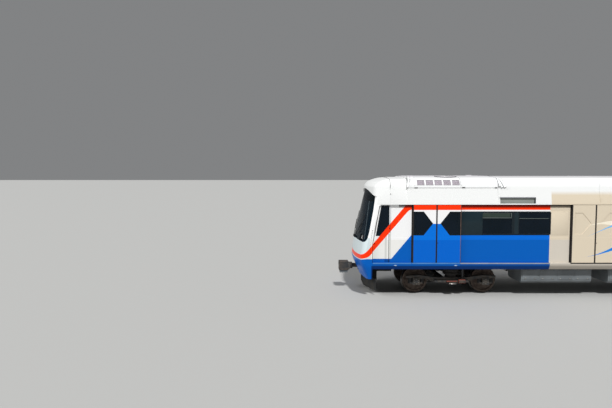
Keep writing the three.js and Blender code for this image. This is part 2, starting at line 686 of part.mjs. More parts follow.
// Bogies: a frame with axle boxes, motors, gear cases and brakes, a bolster on air springs, and two wheelsets.
const FRAME_Y = { inner: 965, outer: 1105 };
function bogieFrame() {
  const axle = WHEELBASE / 2;
  const sideOutline = [
    [-axle - 330, 640],
    [-axle - 330, 560],
    [-axle + 330, 540],
    [-420, 400],
    [420, 400],
    [axle - 330, 540],
    [axle + 330, 560],
    [axle + 330, 640],
    [axle - 100, 660],
    [520, 590],
    [-520, 590],
    [-axle + 100, 660],
  ];
  const transom = (x0, x1) => box(x0, x1, -FRAME_Y.inner - 10, FRAME_Y.inner + 10, 420, 570);
  let frame = joined(transom(-330, -190), transom(190, 330));
  for (const side of [-1, 1]) {
    const y = [side * FRAME_Y.inner, side * FRAME_Y.outer].sort((a, b) => a - b);
    frame = frame.add(prism(sideOutline, ...y, "y"));
    for (const end of [-1, 1]) {
      const x = end * axle;
      const boxY = [side * 950, side * (AXLE_END + 28)].sort((a, b) => a - b);
      frame = frame.add(box(x - 120, x + 120, ...boxY, AXLE_Z - 120, AXLE_Z + 120));
      for (const lean of [-1, 1]) {
        const spring = x + lean * 195;
        frame = frame.add(rod("z", 380, 575, spring, side * 1035, 70, 10));
        frame = frame.add(box(Math.min(spring, x), Math.max(spring, x), ...boxY.map((v) => v * 0.99), 380, 410));
      }
      const brakeY = [side * 735, side * 805].sort((a, b) => a - b);
      const brakeX = [end * 300, end * (axle - TREAD_RADIUS - 14)].sort((a, b) => a - b);
      frame = frame.add(box(...brakeX, ...brakeY, 430, 540));
    }
    const shoeY = [side * 1100, side * 1170].sort((a, b) => a - b);
    frame = frame.add(box(-560, 560, ...shoeY, 430, 500));
    const armY = [side * 1160, side * 1330].sort((a, b) => a - b);
    frame = frame.add(box(-110, 110, ...armY, 425, 455));
  }
  for (const end of [-1, 1]) {
    const motor = rod("y", -330, 330, end * 545, 470, 215, 16);
    const nose = box(...[end * 250, end * 400].sort((a, b) => a - b), -200, 200, 430, 560);
    const caseX = [end * 700, end * (axle + 190)].sort((a, b) => a - b);
    const gearCase = box(...caseX, 325, 455, 290, 610);
    frame = frame.add(motor).add(nose).add(gearCase);
    frame = frame.subtract(rod("y", 300, 480, end * axle, AXLE_Z, 100, 16));
    for (const side of [-1, 1]) {
      const boreY = [side * 900, side * (AXLE_END + SEAT_GAP)].sort((a, b) => a - b);
      frame = frame.subtract(rod("y", ...boreY, end * axle, AXLE_Z, JOURNAL_RADIUS + 1.7, WHEEL_SEGMENTS));
    }
  }
  return frame;
}

const AIR_SPRING = { y: 1035, foot: 590 + SEAT_GAP, top: 905, radius: 255 };
function bolster() {
  const beam = box(-200, 200, -1230, 1230, 900, 990);
  const pivot = rod("z", 985, 1035 - SEAT_GAP, 0, 0, 200, 20);
  const spring = (side) =>
    joined(
      rod("z", AIR_SPRING.foot + 100, AIR_SPRING.top, 0, side * AIR_SPRING.y, AIR_SPRING.radius, 20),
      rod("z", AIR_SPRING.foot, AIR_SPRING.foot + 110, 0, side * (AIR_SPRING.y), 190, 16),
    );
  return joined(beam, pivot, spring(-1), spring(1));
}

// Wheelset: one turned axle with both wheels. Columns: radius, distance from the middle of the axle.
const WHEELSET_HALF = [
  [82, 0],
  [82, 650],
  [135, 655],
  [150, 705],
  [345, 735],
  [360, 681],
  [FLANGE_RADIUS, 690],
  [FLANGE_RADIUS, 702],
  [TREAD_RADIUS + 3, 722],
  [TREAD_RADIUS - 3, 815],
  [352, 812],
  [340, 775],
  [150, 770],
  [135, 835],
  [88, 836],
  [JOURNAL_RADIUS, 930],
  [JOURNAL_RADIUS, AXLE_END],
];
function wheelset() {
  const right = WHEELSET_HALF.slice(1);
  const left = right.map(([radius, y]) => [radius, -y]).reverse();
  return turned([[0, -AXLE_END], ...left, ...right, [0, AXLE_END]], WHEEL_SEGMENTS);
}

// Lamp bar behind the foot of the windscreen: a lamp housing at each end of one beam.
function lampBar() {
  const x = behindNose(330);
  const beam = box(x, behindNose(DESK_FRONT) - SEAT_GAP, -1150, 1150, 1830, 1900);
  const lamp = (side) => box(x, x + 85, ...[side * 900, side * 1220].sort((a, b) => a - b), 1825, 2010);
  return joined(beam, lamp(-1), lamp(1));
}

// The car put together.
const car = new THREE.Group();
car.name = "metro_cab_car";

function place(name, body, material, parent = car) {
  const mesh = new THREE.Mesh(geometryOf(body), material);
  mesh.name = name;
  parent.add(mesh);
  return mesh;
}

place("underframe", underframe(), bluePaint());
place("roof_shell", roofShell(), whitePaint());
place("rear_end_wall", rearEndWall(), whitePaint());
place("gangway_bellows", gangwayBellows(), blackRubber());
place("cab_mask", cabMask(), whitePaint());
place("windscreen", windscreen(), darkGlass());
place("headlamp_bar", lampBar(), greyPaint());
place("driver_desk", driverDesk(), greyPaint());
place("driver_seat", driverSeat(), seatBlue());
place("cab_partition", cabPartition(), whitePaint());
place("cab_door", cabDoor(), whitePaint());
place("front_coupler", frontCoupler(), darkSteel());
place("rear_drawbar", rearDrawbar(), darkSteel());

for (const [sideName, side] of Object.entries(SIDES)) {
  place("side_wall_" + sideName, sideWall(side), bluePaint());
  place("cab_window_" + sideName, cabSideWindow(side), darkGlass());
  place("seats_and_rails_" + sideName, seatsAndRails(side), seatBlue());
  for (const unit of windowPlaces) {
    place(unit.name + "_" + sideName, windowUnit(unit, side), darkGlass());
  }
  for (const i of doorNumbers) {
    for (const [endName, end] of [["front", -1], ["rear", 1]]) {
      const leaf = place(`door_${i + 1}_${sideName}_${endName}`, doorLeaf(end, side), bluePaint());
      leaf.position.x = behindNose(doorCentre(i));
    }
  }
}

for (const [name, span] of Object.entries(AC_PLACES)) {
  place("air_conditioner_" + name, airConditioner(span), whitePaint());
}
for (const row of EQUIPMENT) {
  place(row[0], equipmentBox(row), greyPaint());
}

let axleNumber = 1;
for (const [name, s] of Object.entries(BOGIE_PLACES)) {
  const bogie = new THREE.Group();
  bogie.position.x = behindNose(s);
  car.add(bogie);
  place("bogie_frame_" + name, bogieFrame(), darkSteel(), bogie);
  place("bolster_" + name, bolster(), darkSteel(), bogie);
  for (const end of [-1, 1]) {
    const pair = place("wheelset_" + axleNumber, wheelset(), wheelSteel(), bogie);
    pair.position.set((end * WHEELBASE) / 2, 0, AXLE_Z);
    axleNumber += 1;
  }
}

export default car;
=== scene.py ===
# Lead cab car of an elevated metro train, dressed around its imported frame.
# Metres, cab nose along -X, the car's left side at -Y, Z = 0 under the wheel flanges.
import contextlib
import json
import math

import bpy
from mathutils import Matrix, Vector

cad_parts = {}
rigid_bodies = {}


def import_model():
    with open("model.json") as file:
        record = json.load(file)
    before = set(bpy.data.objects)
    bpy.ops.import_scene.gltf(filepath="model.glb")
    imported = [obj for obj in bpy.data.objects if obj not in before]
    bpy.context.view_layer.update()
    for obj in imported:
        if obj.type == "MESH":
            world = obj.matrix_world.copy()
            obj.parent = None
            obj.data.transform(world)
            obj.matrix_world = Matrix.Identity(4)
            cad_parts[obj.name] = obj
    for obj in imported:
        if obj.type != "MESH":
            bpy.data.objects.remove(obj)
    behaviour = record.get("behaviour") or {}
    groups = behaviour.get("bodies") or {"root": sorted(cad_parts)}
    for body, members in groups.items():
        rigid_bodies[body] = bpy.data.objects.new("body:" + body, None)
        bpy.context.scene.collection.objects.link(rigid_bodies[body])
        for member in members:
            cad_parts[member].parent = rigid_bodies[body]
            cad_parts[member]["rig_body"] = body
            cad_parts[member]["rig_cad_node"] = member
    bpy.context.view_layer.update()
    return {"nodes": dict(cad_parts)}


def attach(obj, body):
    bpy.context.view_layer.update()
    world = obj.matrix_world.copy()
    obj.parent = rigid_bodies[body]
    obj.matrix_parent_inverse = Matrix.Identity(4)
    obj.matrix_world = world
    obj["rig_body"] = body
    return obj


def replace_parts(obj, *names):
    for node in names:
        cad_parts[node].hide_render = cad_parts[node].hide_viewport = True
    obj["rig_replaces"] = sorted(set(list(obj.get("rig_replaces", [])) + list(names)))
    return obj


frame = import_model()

SIDES = {"left": -1, "right": 1}
NOSE_X = -10.4

# The viewpoint: level with the roof, square to the car's left side and tilted a little down.
CAMERA_PLACE = (-12.054, -18.15, 4.13)
CAMERA_TILT = 3.72
CAMERA_LENS = 30.59
camera = bpy.data.cameras.new("viewpoint")
camera.lens = CAMERA_LENS
camera.clip_end = 500
viewpoint = bpy.data.objects.new("viewpoint", camera)
viewpoint.location = CAMERA_PLACE
viewpoint.rotation_euler = (math.radians(90 - CAMERA_TILT), 0, 0)
bpy.context.scene.collection.objects.link(viewpoint)
bpy.context.scene.camera = viewpoint
bpy.context.scene.view_settings.view_transform = "Standard"


# Wheelsets.
# A forged axle with two rolled steel wheels pressed on. The treads are turned bright and run bright,
# the webs keep the brown skin of the rolling mill.
AXLE_PLACES = [-8.4, -6.1, 6.6, 8.9]
AXLE_Z = 0.453
BRIGHT_FROM = 0.415
# Columns: radius, distance from the middle of the axle.
WHEEL_ROWS = [
    (0.086, 0.640), (0.128, 0.648), (0.146, 0.660), (0.150, 0.706), (0.240, 0.727), (0.338, 0.735),
    (0.352, 0.712), (0.364, 0.686), (0.436, 0.684), (0.448, 0.688), (0.453, 0.696), (0.450, 0.705),
    (0.436, 0.716), (0.428, 0.728), (0.4255, 0.765), (0.423, 0.806), (0.418, 0.814), (0.372, 0.815),
    (0.354, 0.808), (0.342, 0.780), (0.240, 0.768), (0.152, 0.772), (0.146, 0.829), (0.136, 0.837),
    (0.086, 0.838),
]
AXLE_ROWS = [
    (0.060, -1.099), (0.064, -1.095), (0.064, -0.930), (0.086, -0.838), (0.086, -0.660), (0.081, -0.640),
    (0.081, 0.640), (0.086, 0.660), (0.086, 0.838), (0.064, 0.930), (0.064, 1.095), (0.060, 1.099),
]
# The material that is being made: its node tree and its shader.
making = {}


def choose(piece):
    """Makes one object the selected and active one."""
    bpy.ops.object.select_all(action="DESELECT")
    piece.select_set(True)
    bpy.context.view_layer.objects.active = piece


def smooth(angle):
    """Shades the active object smooth below an angle in degrees."""
    bpy.ops.object.shade_smooth_by_angle(angle=math.radians(angle))


@contextlib.contextmanager
def editing(piece):
    """Opens a mesh for edit operators with everything selected, and closes it."""
    choose(piece)
    bpy.ops.object.mode_set(mode="EDIT")
    bpy.ops.mesh.select_all(action="SELECT")
    yield
    bpy.ops.object.mode_set(mode="OBJECT")


def primitive(name, operator, scale=(1, 1, 1), **settings):
    """A primitive whose place, turn and scale are applied."""
    bpy.ops.object.select_all(action="DESELECT")
    operator(**settings)
    made = bpy.context.active_object
    made.name = name
    made.scale = scale
    bpy.ops.object.transform_apply(location=True, rotation=True, scale=True)
    return made


def srgb(code):
    """An sRGB hex value as the linear colour that a shader takes."""
    parts = [int(code[i:i + 2], 16) / 255 for i in (1, 3, 5)]
    return tuple(p / 12.92 if p <= 0.04045 else ((p + 0.055) / 1.055) ** 2.4 for p in parts) + (1,)


def add(kind, inputs=None, **settings):
    """Adds a node, sets its properties, and gives its sockets values or links from other nodes."""
    made = making["tree"].nodes.new("ShaderNode" + kind)
    for key, value in settings.items():
        setattr(made, key, value)
    for key, value in (inputs or {}).items():
        named = [s for s in made.inputs if s.enabled and s.name == key]
        socket = made.inputs[key] if isinstance(key, int) else named[0]
        if isinstance(value, bpy.types.Node):
            value = next(s for s in value.outputs if s.enabled)
        if isinstance(value, bpy.types.NodeSocket):
            making["tree"].links.new(value, socket)
        else:
            socket.default_value = value
    return made


def lead(node, socket):
    """Leads a node's result to one of the shader's sockets."""
    result = next(s for s in node.outputs if s.enabled)
    making["tree"].links.new(result, making["shader"].inputs[socket])


def here():
    """The place on the object, which is the place on the car."""
    return add("TexCoord").outputs["Object"]


def material(name, sockets):
    """A material with one Principled shader. The node functions add to the last one made."""
    made = bpy.data.materials.new(name)
    made.use_nodes = True
    making["tree"] = made.node_tree
    made.node_tree.nodes.clear()
    making["shader"] = add("BsdfPrincipled", sockets)
    add("OutputMaterial", {"Surface": making["shader"]})
    return made


def mottled(first, second, grain):
    """Two colours that drift into each other in patches of about one grain, in metres."""
    noise = add("TexNoise", {"Vector": here(), "Scale": 1 / grain, "Detail": 4})
    spread = add("MapRange", {"Value": noise, "From Min": 0.36, "From Max": 0.64})
    return add("Mix", {"Factor": spread, "A": srgb(first), "B": srgb(second)}, data_type="RGBA")


def roughened(grain, height):
    """A fine relief on the surface: bumps of one grain across and some height, in metres."""
    noise = add("TexNoise", {"Vector": here(), "Scale": 1 / grain, "Detail": 3})
    lead(add("Bump", {"Height": noise, "Distance": height, "Strength": 1}), "Normal")


def finish(name, first, second, grain, rough, metal=0, specular=0.5, relief=None, **more):
    """A mottled material. Relief is its bumps' grain and height, more names the shader's other sockets."""
    sockets = {"Roughness": rough, "Metallic": metal, "Specular IOR Level": specular}
    sockets.update({key.replace("_", " "): value for key, value in more.items()})
    made = material(name, sockets)
    lead(mottled(first, second, grain), "Base Color")
    if relief:
        roughened(*relief)
    return made


def paint_faces(piece, materials, rule):
    """Gives each face a material: the rule turns its middle and normal into a number in the list."""
    piece.data.materials.clear()
    for coat in materials:
        piece.data.materials.append(coat)
    for face in piece.data.polygons:
        face.material_index = rule(face.center, face.normal)
    return piece


def coated(piece, coat):
    """One finish all over."""
    return paint_faces(piece, [coat], lambda at, normal: 0)


def turned(name, rows, centre, coat, axis="y", sides=64):
    """A body of revolution: a round disc is extruded and scaled from row to row along an axis."""
    turn = {"x": (0, math.pi / 2, 0), "y": (math.pi / 2, 0, 0), "z": (0, 0, 0)}[axis]
    along = Vector([float(axis == letter) for letter in "xyz"])
    across = Vector((1, 1, 1)) - along
    made = primitive(name, bpy.ops.mesh.primitive_circle_add, vertices=sides,
                     radius=rows[0][0], fill_type="NGON",
                     location=Vector(centre) + along * rows[0][1], rotation=turn)
    with editing(made):
        for (radius, start), (next_radius, end) in zip(rows, rows[1:]):
            bpy.ops.mesh.extrude_region_move(TRANSFORM_OT_translate={"value": along * (end - start)})
            bpy.ops.transform.resize(value=along + across * (next_radius / radius),
                                     center_override=Vector(centre) + along * end)
        bpy.ops.mesh.select_all(action="SELECT")
        bpy.ops.mesh.normals_make_consistent(inside=False)
    smooth(30)
    return coated(made, coat)


def copied(piece, name, move=(0, 0, 0), mirror=False):
    """A copy with its own mesh, moved, or mirrored to the car's other side."""
    made = piece.copy()
    made.data = piece.data.copy()
    made.name = name
    bpy.context.scene.collection.objects.link(made)
    if mirror:
        made.data.transform(Matrix.Diagonal((1, -1, 1, 1)))
        made.data.flip_normals()
    made.data.transform(Matrix.Translation(move))
    if "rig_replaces" in made:
        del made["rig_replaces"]
    return made


def both_sides(*parts):
    """The left side's parts and their mirror images."""
    return [*parts, *[copied(part, part.name, mirror=True) for part in parts]]


def join(name, parts):
    """Several pieces of one make become one object."""
    choose(parts[0])
    for part in parts[1:]:
        part.select_set(True)
    if len(parts) > 1:
        bpy.ops.object.join()
    parts[0].name = name
    return parts[0]


def fit(piece, body="car_body"):
    """Seats a piece on the body that it rides on."""
    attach(piece, body)
    return piece


# Rolled carbon steel, turned on a wheel lathe: bright, with a fine ring pattern from the tool, 3 mm apart.
bright_steel = finish("turned_wheel_steel", "#8d8a86", "#a5a3a0", 0.05, 0.28, metal=1)
rings = add("TexWave", {"Vector": here(), "Scale": 1 / 0.003 / 3.14}, bands_direction="Y")
lead(add("Bump", {"Height": rings, "Distance": 0.0001, "Strength": 1}), "Normal")
# The same steel as it left the mill, brown with brake dust: dull and uneven.
mill_steel = finish("mill_scaled_wheel_steel", "#453831", "#665950", 0.09, 0.72, metal=0.35,
                    relief=(0.006, 0.0006))

hub = (AXLE_PLACES[0], 0, AXLE_Z)
wheel = turned("wheel", WHEEL_ROWS, hub, mill_steel, sides=72)
paint_faces(wheel, [mill_steel, bright_steel],
            lambda at, normal: int(math.hypot(at.x - hub[0], at.z - AXLE_Z) > BRIGHT_FROM))
axle = turned("axle", AXLE_ROWS, hub, mill_steel, sides=32)
first_wheelset = join("rolled_wheelset_1", [*both_sides(wheel), axle])
for number, place in enumerate(AXLE_PLACES, start=1):
    wheelset = first_wheelset
    if number > 1:
        wheelset = copied(first_wheelset, f"rolled_wheelset_{number}", move=(place - hub[0], 0, 0))
    fit(wheelset, f"wheelset_{number}")
    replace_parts(wheelset, f"wheelset_{number}")


# Bogie frames.
# Welded box beams of steel plate under dark grey epoxy, with axle boxes, motors, gear cases and brake units.
# Weld seams are ground round, so every edge is eased. Coil springs stand between axle box and beam.
BOGIES = {"front": -7.25, "rear": 7.75}
AXLE_OFFSET = 1.15
SPRING = {"offset": 0.195, "y": 1.035, "foot": 0.411, "pitch": 0.0268, "turns": 5,
          "radius": 0.0655, "wire": 0.009}
CORE_RADIUS = 0.0715
BOX_FACE = 1.127
# Axle-box cover, motor end, damper and brake cylinder. Columns: radius, distance along the axis.
COVER_ROWS = [(0.104, 0), (0.104, -0.010), (0.097, -0.016), (0.064, -0.016), (0.057, -0.023), (0.020, -0.025)]
MOTOR_END_ROWS = [(0.205, 0.004), (0.212, -0.008), (0.198, -0.016), (0.120, -0.018),
                  (0.110, -0.030), (0.050, -0.032)]
DAMPER_ROWS = [
    (0.016, 0.570), (0.016, 0.600), (0.031, 0.604), (0.031, 0.742), (0.039, 0.744), (0.039, 0.905),
    (0.030, 0.915), (0.016, 0.918), (0.016, 0.940),
]
BRAKE_ROWS = [(0.060, 0.335), (0.082, 0.345), (0.082, 0.470), (0.070, 0.485), (0.034, 0.490), (0.030, 0.560)]


def change(piece, kind, **settings):
    """Puts a modifier on a piece and applies it."""
    choose(piece)
    modifier = piece.modifiers.new(kind.lower(), kind)
    for key, value in settings.items():
        setattr(modifier, key, value)
    bpy.ops.object.modifier_apply(modifier=modifier.name)
    return piece


def eased(node, name, edge=0.004):
    """A CAD node's form with its edges rounded, to stand for the node."""
    made = frame["nodes"][node].copy()
    made.data = made.data.copy()
    made.parent = None
    made.name = name
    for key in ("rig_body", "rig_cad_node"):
        del made[key]
    bpy.context.scene.collection.objects.link(made)
    with editing(made):
        bpy.ops.mesh.remove_doubles(threshold=0.00002)
        bpy.ops.mesh.dissolve_limited(angle_limit=math.radians(0.6))
    if edge:
        change(made, "BEVEL", width=edge, segments=2, limit_method="ANGLE", angle_limit=math.radians(35),
               use_clamp_overlap=False)
    smooth(30)
    change(made, "WEIGHTED_NORMAL", keep_sharp=True)
    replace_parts(made, node)
    return made


def dressed(node, name, coats, rule, edge=0.004, body="car_body"):
    """A node's eased form, painted by one finish or by a rule, and seated."""
    made = eased(node, name, edge)
    return fit(paint_faces(made, coats, rule) if rule else coated(made, coats), body)


def block(name, low, high, coat, edge=0.003, segments=2):
    """A cube primitive between two corners, its edges rounded by the bevel operator."""
    made = primitive(name, bpy.ops.mesh.primitive_cube_add, [abs(b - a) for a, b in zip(low, high)], size=1,
                     location=[(a + b) / 2 for a, b in zip(low, high)])
    with editing(made):
        bpy.ops.mesh.bevel(offset=edge, segments=segments, affect="EDGES")
    smooth(40)
    return coated(made, coat)


def bolt_ring(name, centre, reach, count, size):
    """Hexagon heads in a ring about the Y axis, their tops towards the left."""
    rows = [(size, 0.002), (size, -0.65 * size), (0.8 * size, -0.8 * size)]
    turns = [2 * math.pi * (i + 0.5) / count for i in range(count)]
    return join(name, [
        turned(name, rows, Vector(centre) + reach * Vector((math.cos(turn), 0, math.sin(turn))), zinc,
               sides=6)
        for turn in turns])


def coil_spring(place):
    """A round wire wound by the Screw modifier, its ends closed."""
    made = primitive("axle_spring", bpy.ops.mesh.primitive_circle_add, vertices=8, radius=SPRING["wire"],
                     location=(SPRING["radius"], 0, 0), rotation=(math.pi / 2, 0, 0))
    change(made, "SCREW", screw_offset=SPRING["pitch"], iterations=SPRING["turns"], steps=16, render_steps=16)
    with editing(made):
        bpy.ops.mesh.fill_holes(sides=0)
        bpy.ops.mesh.normals_make_consistent(inside=False)
    smooth(50)
    made.data.transform(Matrix.Translation(place))
    return coated(made, spring_steel)


# Structural steel under epoxy paint, dusted brown by the brakes: half matt, uneven, slightly pitted.
bogie_paint = finish("epoxy_painted_bogie_steel", "#2b2e30", "#4e463e", 0.16, 0.6, specular=0.4,
                     relief=(0.012, 0.0008))
# Extruded EPDM rubber: matt, nearly black, browned a little by dust.
rubber = finish("extruded_epdm_rubber", "#1c1a19", "#2a2624", 0.05, 0.75, specular=0.3,
                relief=(0.004, 0.0002))
# Spring steel under a black dip coat: a soft gloss on the crowns of the wire.
spring_steel = finish("dip_coated_spring_steel", "#26292b", "#37383a", 0.02, 0.4, metal=0.3)
# Zinc plated bolts and fittings: dull silver with a slight yellow cast.
zinc = finish("zinc_plated_fastener_steel", "#8f8f8a", "#a5a49c", 0.01, 0.42, metal=1)
# Glass-fibre filled polyester, the insulating carrier of the current collector: brick red, matt.
insulator = finish("moulded_polyester_insulator", "#6c3226", "#7d3d2f", 0.03, 0.55)


def frame_finish(at, normal):
    """Rubber cores in the coil springs, mill steel on the brake faces, paint elsewhere."""
    along, out = abs(at.x - place), abs(at.y)
    core = math.hypot(abs(along - AXLE_OFFSET) - SPRING["offset"], out - SPRING["y"])
    if core < CORE_RADIUS and SPRING["foot"] - 0.002 < at.z < 0.556:
        return 1
    return 2 if 0.66 < along < 0.72 and 0.7 < out < 0.85 else 0


front = BOGIES["front"]
springs = join("axle_springs_front", [
    coil_spring((front + axle * AXLE_OFFSET + lean * SPRING["offset"], side * SPRING["y"], SPRING["foot"]))
    for axle in (-1, 1) for lean in (-1, 1) for side in (-1, 1)])
covers = []
drives = []
for axle in (-1, 1):
    x = front + axle * AXLE_OFFSET
    covers += [
        turned("axle_box_cover", COVER_ROWS, (x, -BOX_FACE, AXLE_Z), bogie_paint, sides=32),
        bolt_ring("cover_bolts", (x, -BOX_FACE - 0.014, AXLE_Z), 0.081, 6, 0.011),
    ]
    x = front + axle * 0.545
    drives += [
        turned("motor_end", MOTOR_END_ROWS, (x, -0.330, 0.470), bogie_paint, sides=32),
        bolt_ring("motor_bolts", (x, -0.344, 0.470), 0.160, 8, 0.012),
        turned("brake_cylinder", [(radius, axle * out) for radius, out in BRAKE_ROWS], (front, -0.770, 0.520),
               bogie_paint, axis="x", sides=24),
    ]
dampers = []
for side in (-1, 1):
    x = front - side * 0.36
    dampers += [
        turned("upright_damper", DAMPER_ROWS, (x, side * 1.140, 0), spring_steel, axis="z", sides=20),
        block("damper_foot", (x - 0.05, side * 1.100, 0.540),
              (x + 0.05, side * 1.175, 0.575), bogie_paint, 0.006),
        block("damper_head", (x + side * 0.17, side * 1.100, 0.930), (x - side * 0.05, side * 1.180, 0.965),
              bogie_paint, 0.006),
    ]
collectors = [
    block("contact_shoe", (front - 0.13, -1.330, 0.402), (front + 0.13, -1.205, 0.4245),
          bright_steel, 0.008, 3),
    block("shoe_carrier", (front - 0.17, -1.225, 0.4555), (front + 0.17, -1.165, 0.486), insulator, 0.008, 3),
    block("fuse_box", (front + 0.22, -1.262, 0.420), (front + 0.44, -1.171, 0.535), insulator, 0.012, 3),
    block("fuse_lid", (front + 0.23, -1.268, 0.435), (front + 0.43, -1.255, 0.520), bogie_paint, 0.004),
    bolt_ring("beam_bolts", (front - 0.36, -1.170, 0.465), 0.018, 4, 0.008),
]
groups = [
    springs,
    join("axle_box_covers_front", both_sides(*covers)),
    join("motor_ends_and_brake_cylinders_front", both_sides(*drives)),
    join("upright_dampers_front", dampers),
    join("current_collectors_front", both_sides(*collectors)),
]
shift = (BOGIES["rear"] - front, 0, 0)
for end, place in BOGIES.items():
    dressed(f"bogie_frame_{end}", f"welded_bogie_frame_{end}",
            [bogie_paint, rubber, mill_steel], frame_finish,
            0.006, f"bogie_{end}")
    for group in groups:
        if end == "rear":
            group = copied(group, group.name.replace("front", "rear"), move=shift)
        fit(group, f"bogie_{end}")


# Bolsters.
# A welded cross beam carries the car on two air springs, rubber bellows over a layered rubber and steel base.
# A round centre bearing on top takes the pull.
AIR_SPRING_Y = 1.035
# Columns: radius, height.
BELLOWS_ROWS = [
    (0.205, 0.688), (0.238, 0.692), (0.254, 0.706), (0.258, 0.730), (0.253, 0.758), (0.238, 0.776),
    (0.230, 0.790), (0.238, 0.804), (0.253, 0.822), (0.258, 0.848), (0.252, 0.874), (0.236, 0.892),
    (0.236, 0.9005),
]
LAYERS = [0.178, 0.190, 0.178, 0.190, 0.178, 0.192, 0.192]
BASE_ROWS = [(0.188, 0.5905), (0.190, 0.600)]
BASE_ROWS += [(radius, 0.604 + 0.0135 * step) for step, radius in enumerate(LAYERS)]
BEARING_ROWS = [(0.235, 0.985), (0.235, 0.998), (0.205, 1.006), (0.205, 1.030), (0.198, 1.0345)]
beam_parts = [
    block("cross_beam", (front - 0.20, -1.23, 0.900), (front + 0.20, 1.23, 0.990), bogie_paint, 0.010, 3),
    turned("centre_bearing", BEARING_ROWS, (front, 0, 0), bogie_paint, axis="z", sides=48),
]
for y in (-0.72, -0.46, 0.46, 0.72):
    beam_parts.append(block("beam_gusset", (front - 0.212, y - 0.008, 0.902),
                            (front + 0.212, y + 0.008, 0.988),
                            bogie_paint))
for rows in (BELLOWS_ROWS, BASE_ROWS):
    beam_parts += both_sides(turned("air_spring", rows, (front, -AIR_SPRING_Y, 0),
                                    rubber, axis="z", sides=48))
front_beam = join("bolster_on_air_springs_front", beam_parts)
for end in BOGIES:
    beam = front_beam if end == "front" else copied(front_beam, "bolster_on_air_springs_rear", move=shift)
    fit(beam, f"bogie_{end}")
    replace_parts(beam, f"bolster_{end}")


# Underframe, sills and outer paint.
# A welded aluminium floor with deep side sills, sprayed with the body. Two-pack polyurethane paint in white,
# blue and orange, with a beige film laid over everything from the second doorway back. Below the ledge it is
# darkened with painted shade.
FILM_START = 6.20
# Painted shade line: below it the paint is darker, above it lighter as a painted sky reflection.
SHADE_SPLIT_Z = 1.89
# Painted highlight: a thin lighter line along the panels' crease, foot and top.
CREASE_HIGHLIGHT = (1.962, 1.970)
LEDGE_Z = 1.055
DOOR_FIRST = 2.54
DOOR_PITCH = 5.1
DOOR_CENTRES = [NOSE_X + DOOR_FIRST + DOOR_PITCH * i for i in range(4)]
WHITE = "#efefef"
ORANGE = "#fb3606"
BLUE = "#0066d0"
FILM_BEIGE = "#d5c8b2"
BLACK_PRINT = "#0d171e"
ROOF_GREY = "#cbc8cc"
# The orange band under the cornice, and the black band between windows and around door panes: foot, top.
BAND = (2.859, 3.03)
PRINT = (2.037, 2.807)
# Slanting edges of the paint on the cab's side. Columns: rise, a place that the edge runs through (distance
# behind the nose, height), the height at which it runs level round the nose.
STRIPE_TOP = (1.197, 1.476, 2.914, 1.43)
STRIPE_FOOT = (1.173, 1.21, 2.324, 1.30)
BLUE_TOP = (1.205, 1.10, 1.272, 1.272)
# How softly the stripe bends at the nose and under the cornice.
NOSE_BEND = 0.22
CORNICE_BEND = 0.12
# Patches on the cab's side: from and to behind the nose, foot and top. The hollows and the step recess are
# painted shade; the lower print is black print.
HOLLOW_SHADES = [(0.886, 0.954), (1.028, 1.085)]
HOLLOW_SHADE_TOP = 2.2
STEP_RECESS_SHADE = ((0.880, 1.062), (1.165, 1.250))
LOWER_PRINT = ((0.640, 0.735), (2.010, 2.16))
# The print around the cab window: its slanting front edge, its rear edge, foot and top.
CAB_PRINT = {"lean": 0.15 / 0.857, "s": 0.617, "z": 2.143, "rear": 1.028, "heights": (2.012, 3.004)}
# Ribbons on the film. Columns: colour, middle height, swing, wave length, start of the wave, half width.
RIBBONS = [
    ("#efe6d2", 1.92, 0.52, 7.4, 6.2, 0.30),
    ("#1f7fd6", 1.78, 0.46, 6.3, 8.6, 0.20),
    ("#6fb3ea", 2.10, 0.38, 5.2, 7.6, 0.11),
]
PIPE_Z = 0.935


def calc(operation, *values):
    """One step of arithmetic between sockets, nodes and numbers."""
    return add("Math", dict(enumerate(values)), operation=operation)


def slope(value, factor, start):
    """A straight line over a value."""
    return calc("MULTIPLY_ADD", value, factor, start)


def over(value, edge):
    """1 where the value lies over the edge."""
    return calc("GREATER_THAN", value, edge)


def both(*conditions):
    """1 where all of the conditions hold."""
    result = conditions[0]
    for condition in conditions[1:]:
        result = calc("MULTIPLY", result, condition)
    return result


def within(value, low, high):
    """1 where the value lies between two edges."""
    return both(over(value, low), over(high, value))


def ramp(value, low, high, first=0, last=1, kind="LINEAR"):
    """Runs from the first to the last result while the value goes from low to high."""
    return add("MapRange",
               {"Value": value, "From Min": low, "From Max": high, "To Min": first, "To Max": last},
               interpolation_type=kind)


def slanting(s, edge):
    """The height of one of the slanting edges."""
    rise, through_s, through_z, _ = edge
    return slope(s, rise, through_z - rise * through_s)


def blend(share, first, second, kind="MIX"):
    """The second colour laid over the first by a share."""
    first, second = [srgb(c) if isinstance(c, str) else c for c in (first, second)]
    return add("Mix", {"Factor": share, "A": first, "B": second}, data_type="RGBA", blend_type=kind)


def car_place():
    """Place on the car: s behind the nose, z the height."""
    place = add("SeparateXYZ", {"Vector": here()})
    return calc("ADD", place.outputs["X"], -NOSE_X), place.outputs["Z"]


def film_print(s, z):
    """The film's own design: ribbons that swell and cross on a beige ground."""
    ground = srgb(FILM_BEIGE)
    for colour, middle, swing, length, start, half in RIBBONS:
        phase = slope(s, 2 * math.pi / length, -2 * math.pi * start / length)
        wave = slope(calc("SINE", phase), swing, middle)
        off = calc("ABSOLUTE", calc("SUBTRACT", z, wave))
        grow = ramp(s, 7.3, 10.0, 0, half, "SMOOTHSTEP")
        ground = blend(calc("LESS_THAN", off, grow), ground, colour)
    return ground


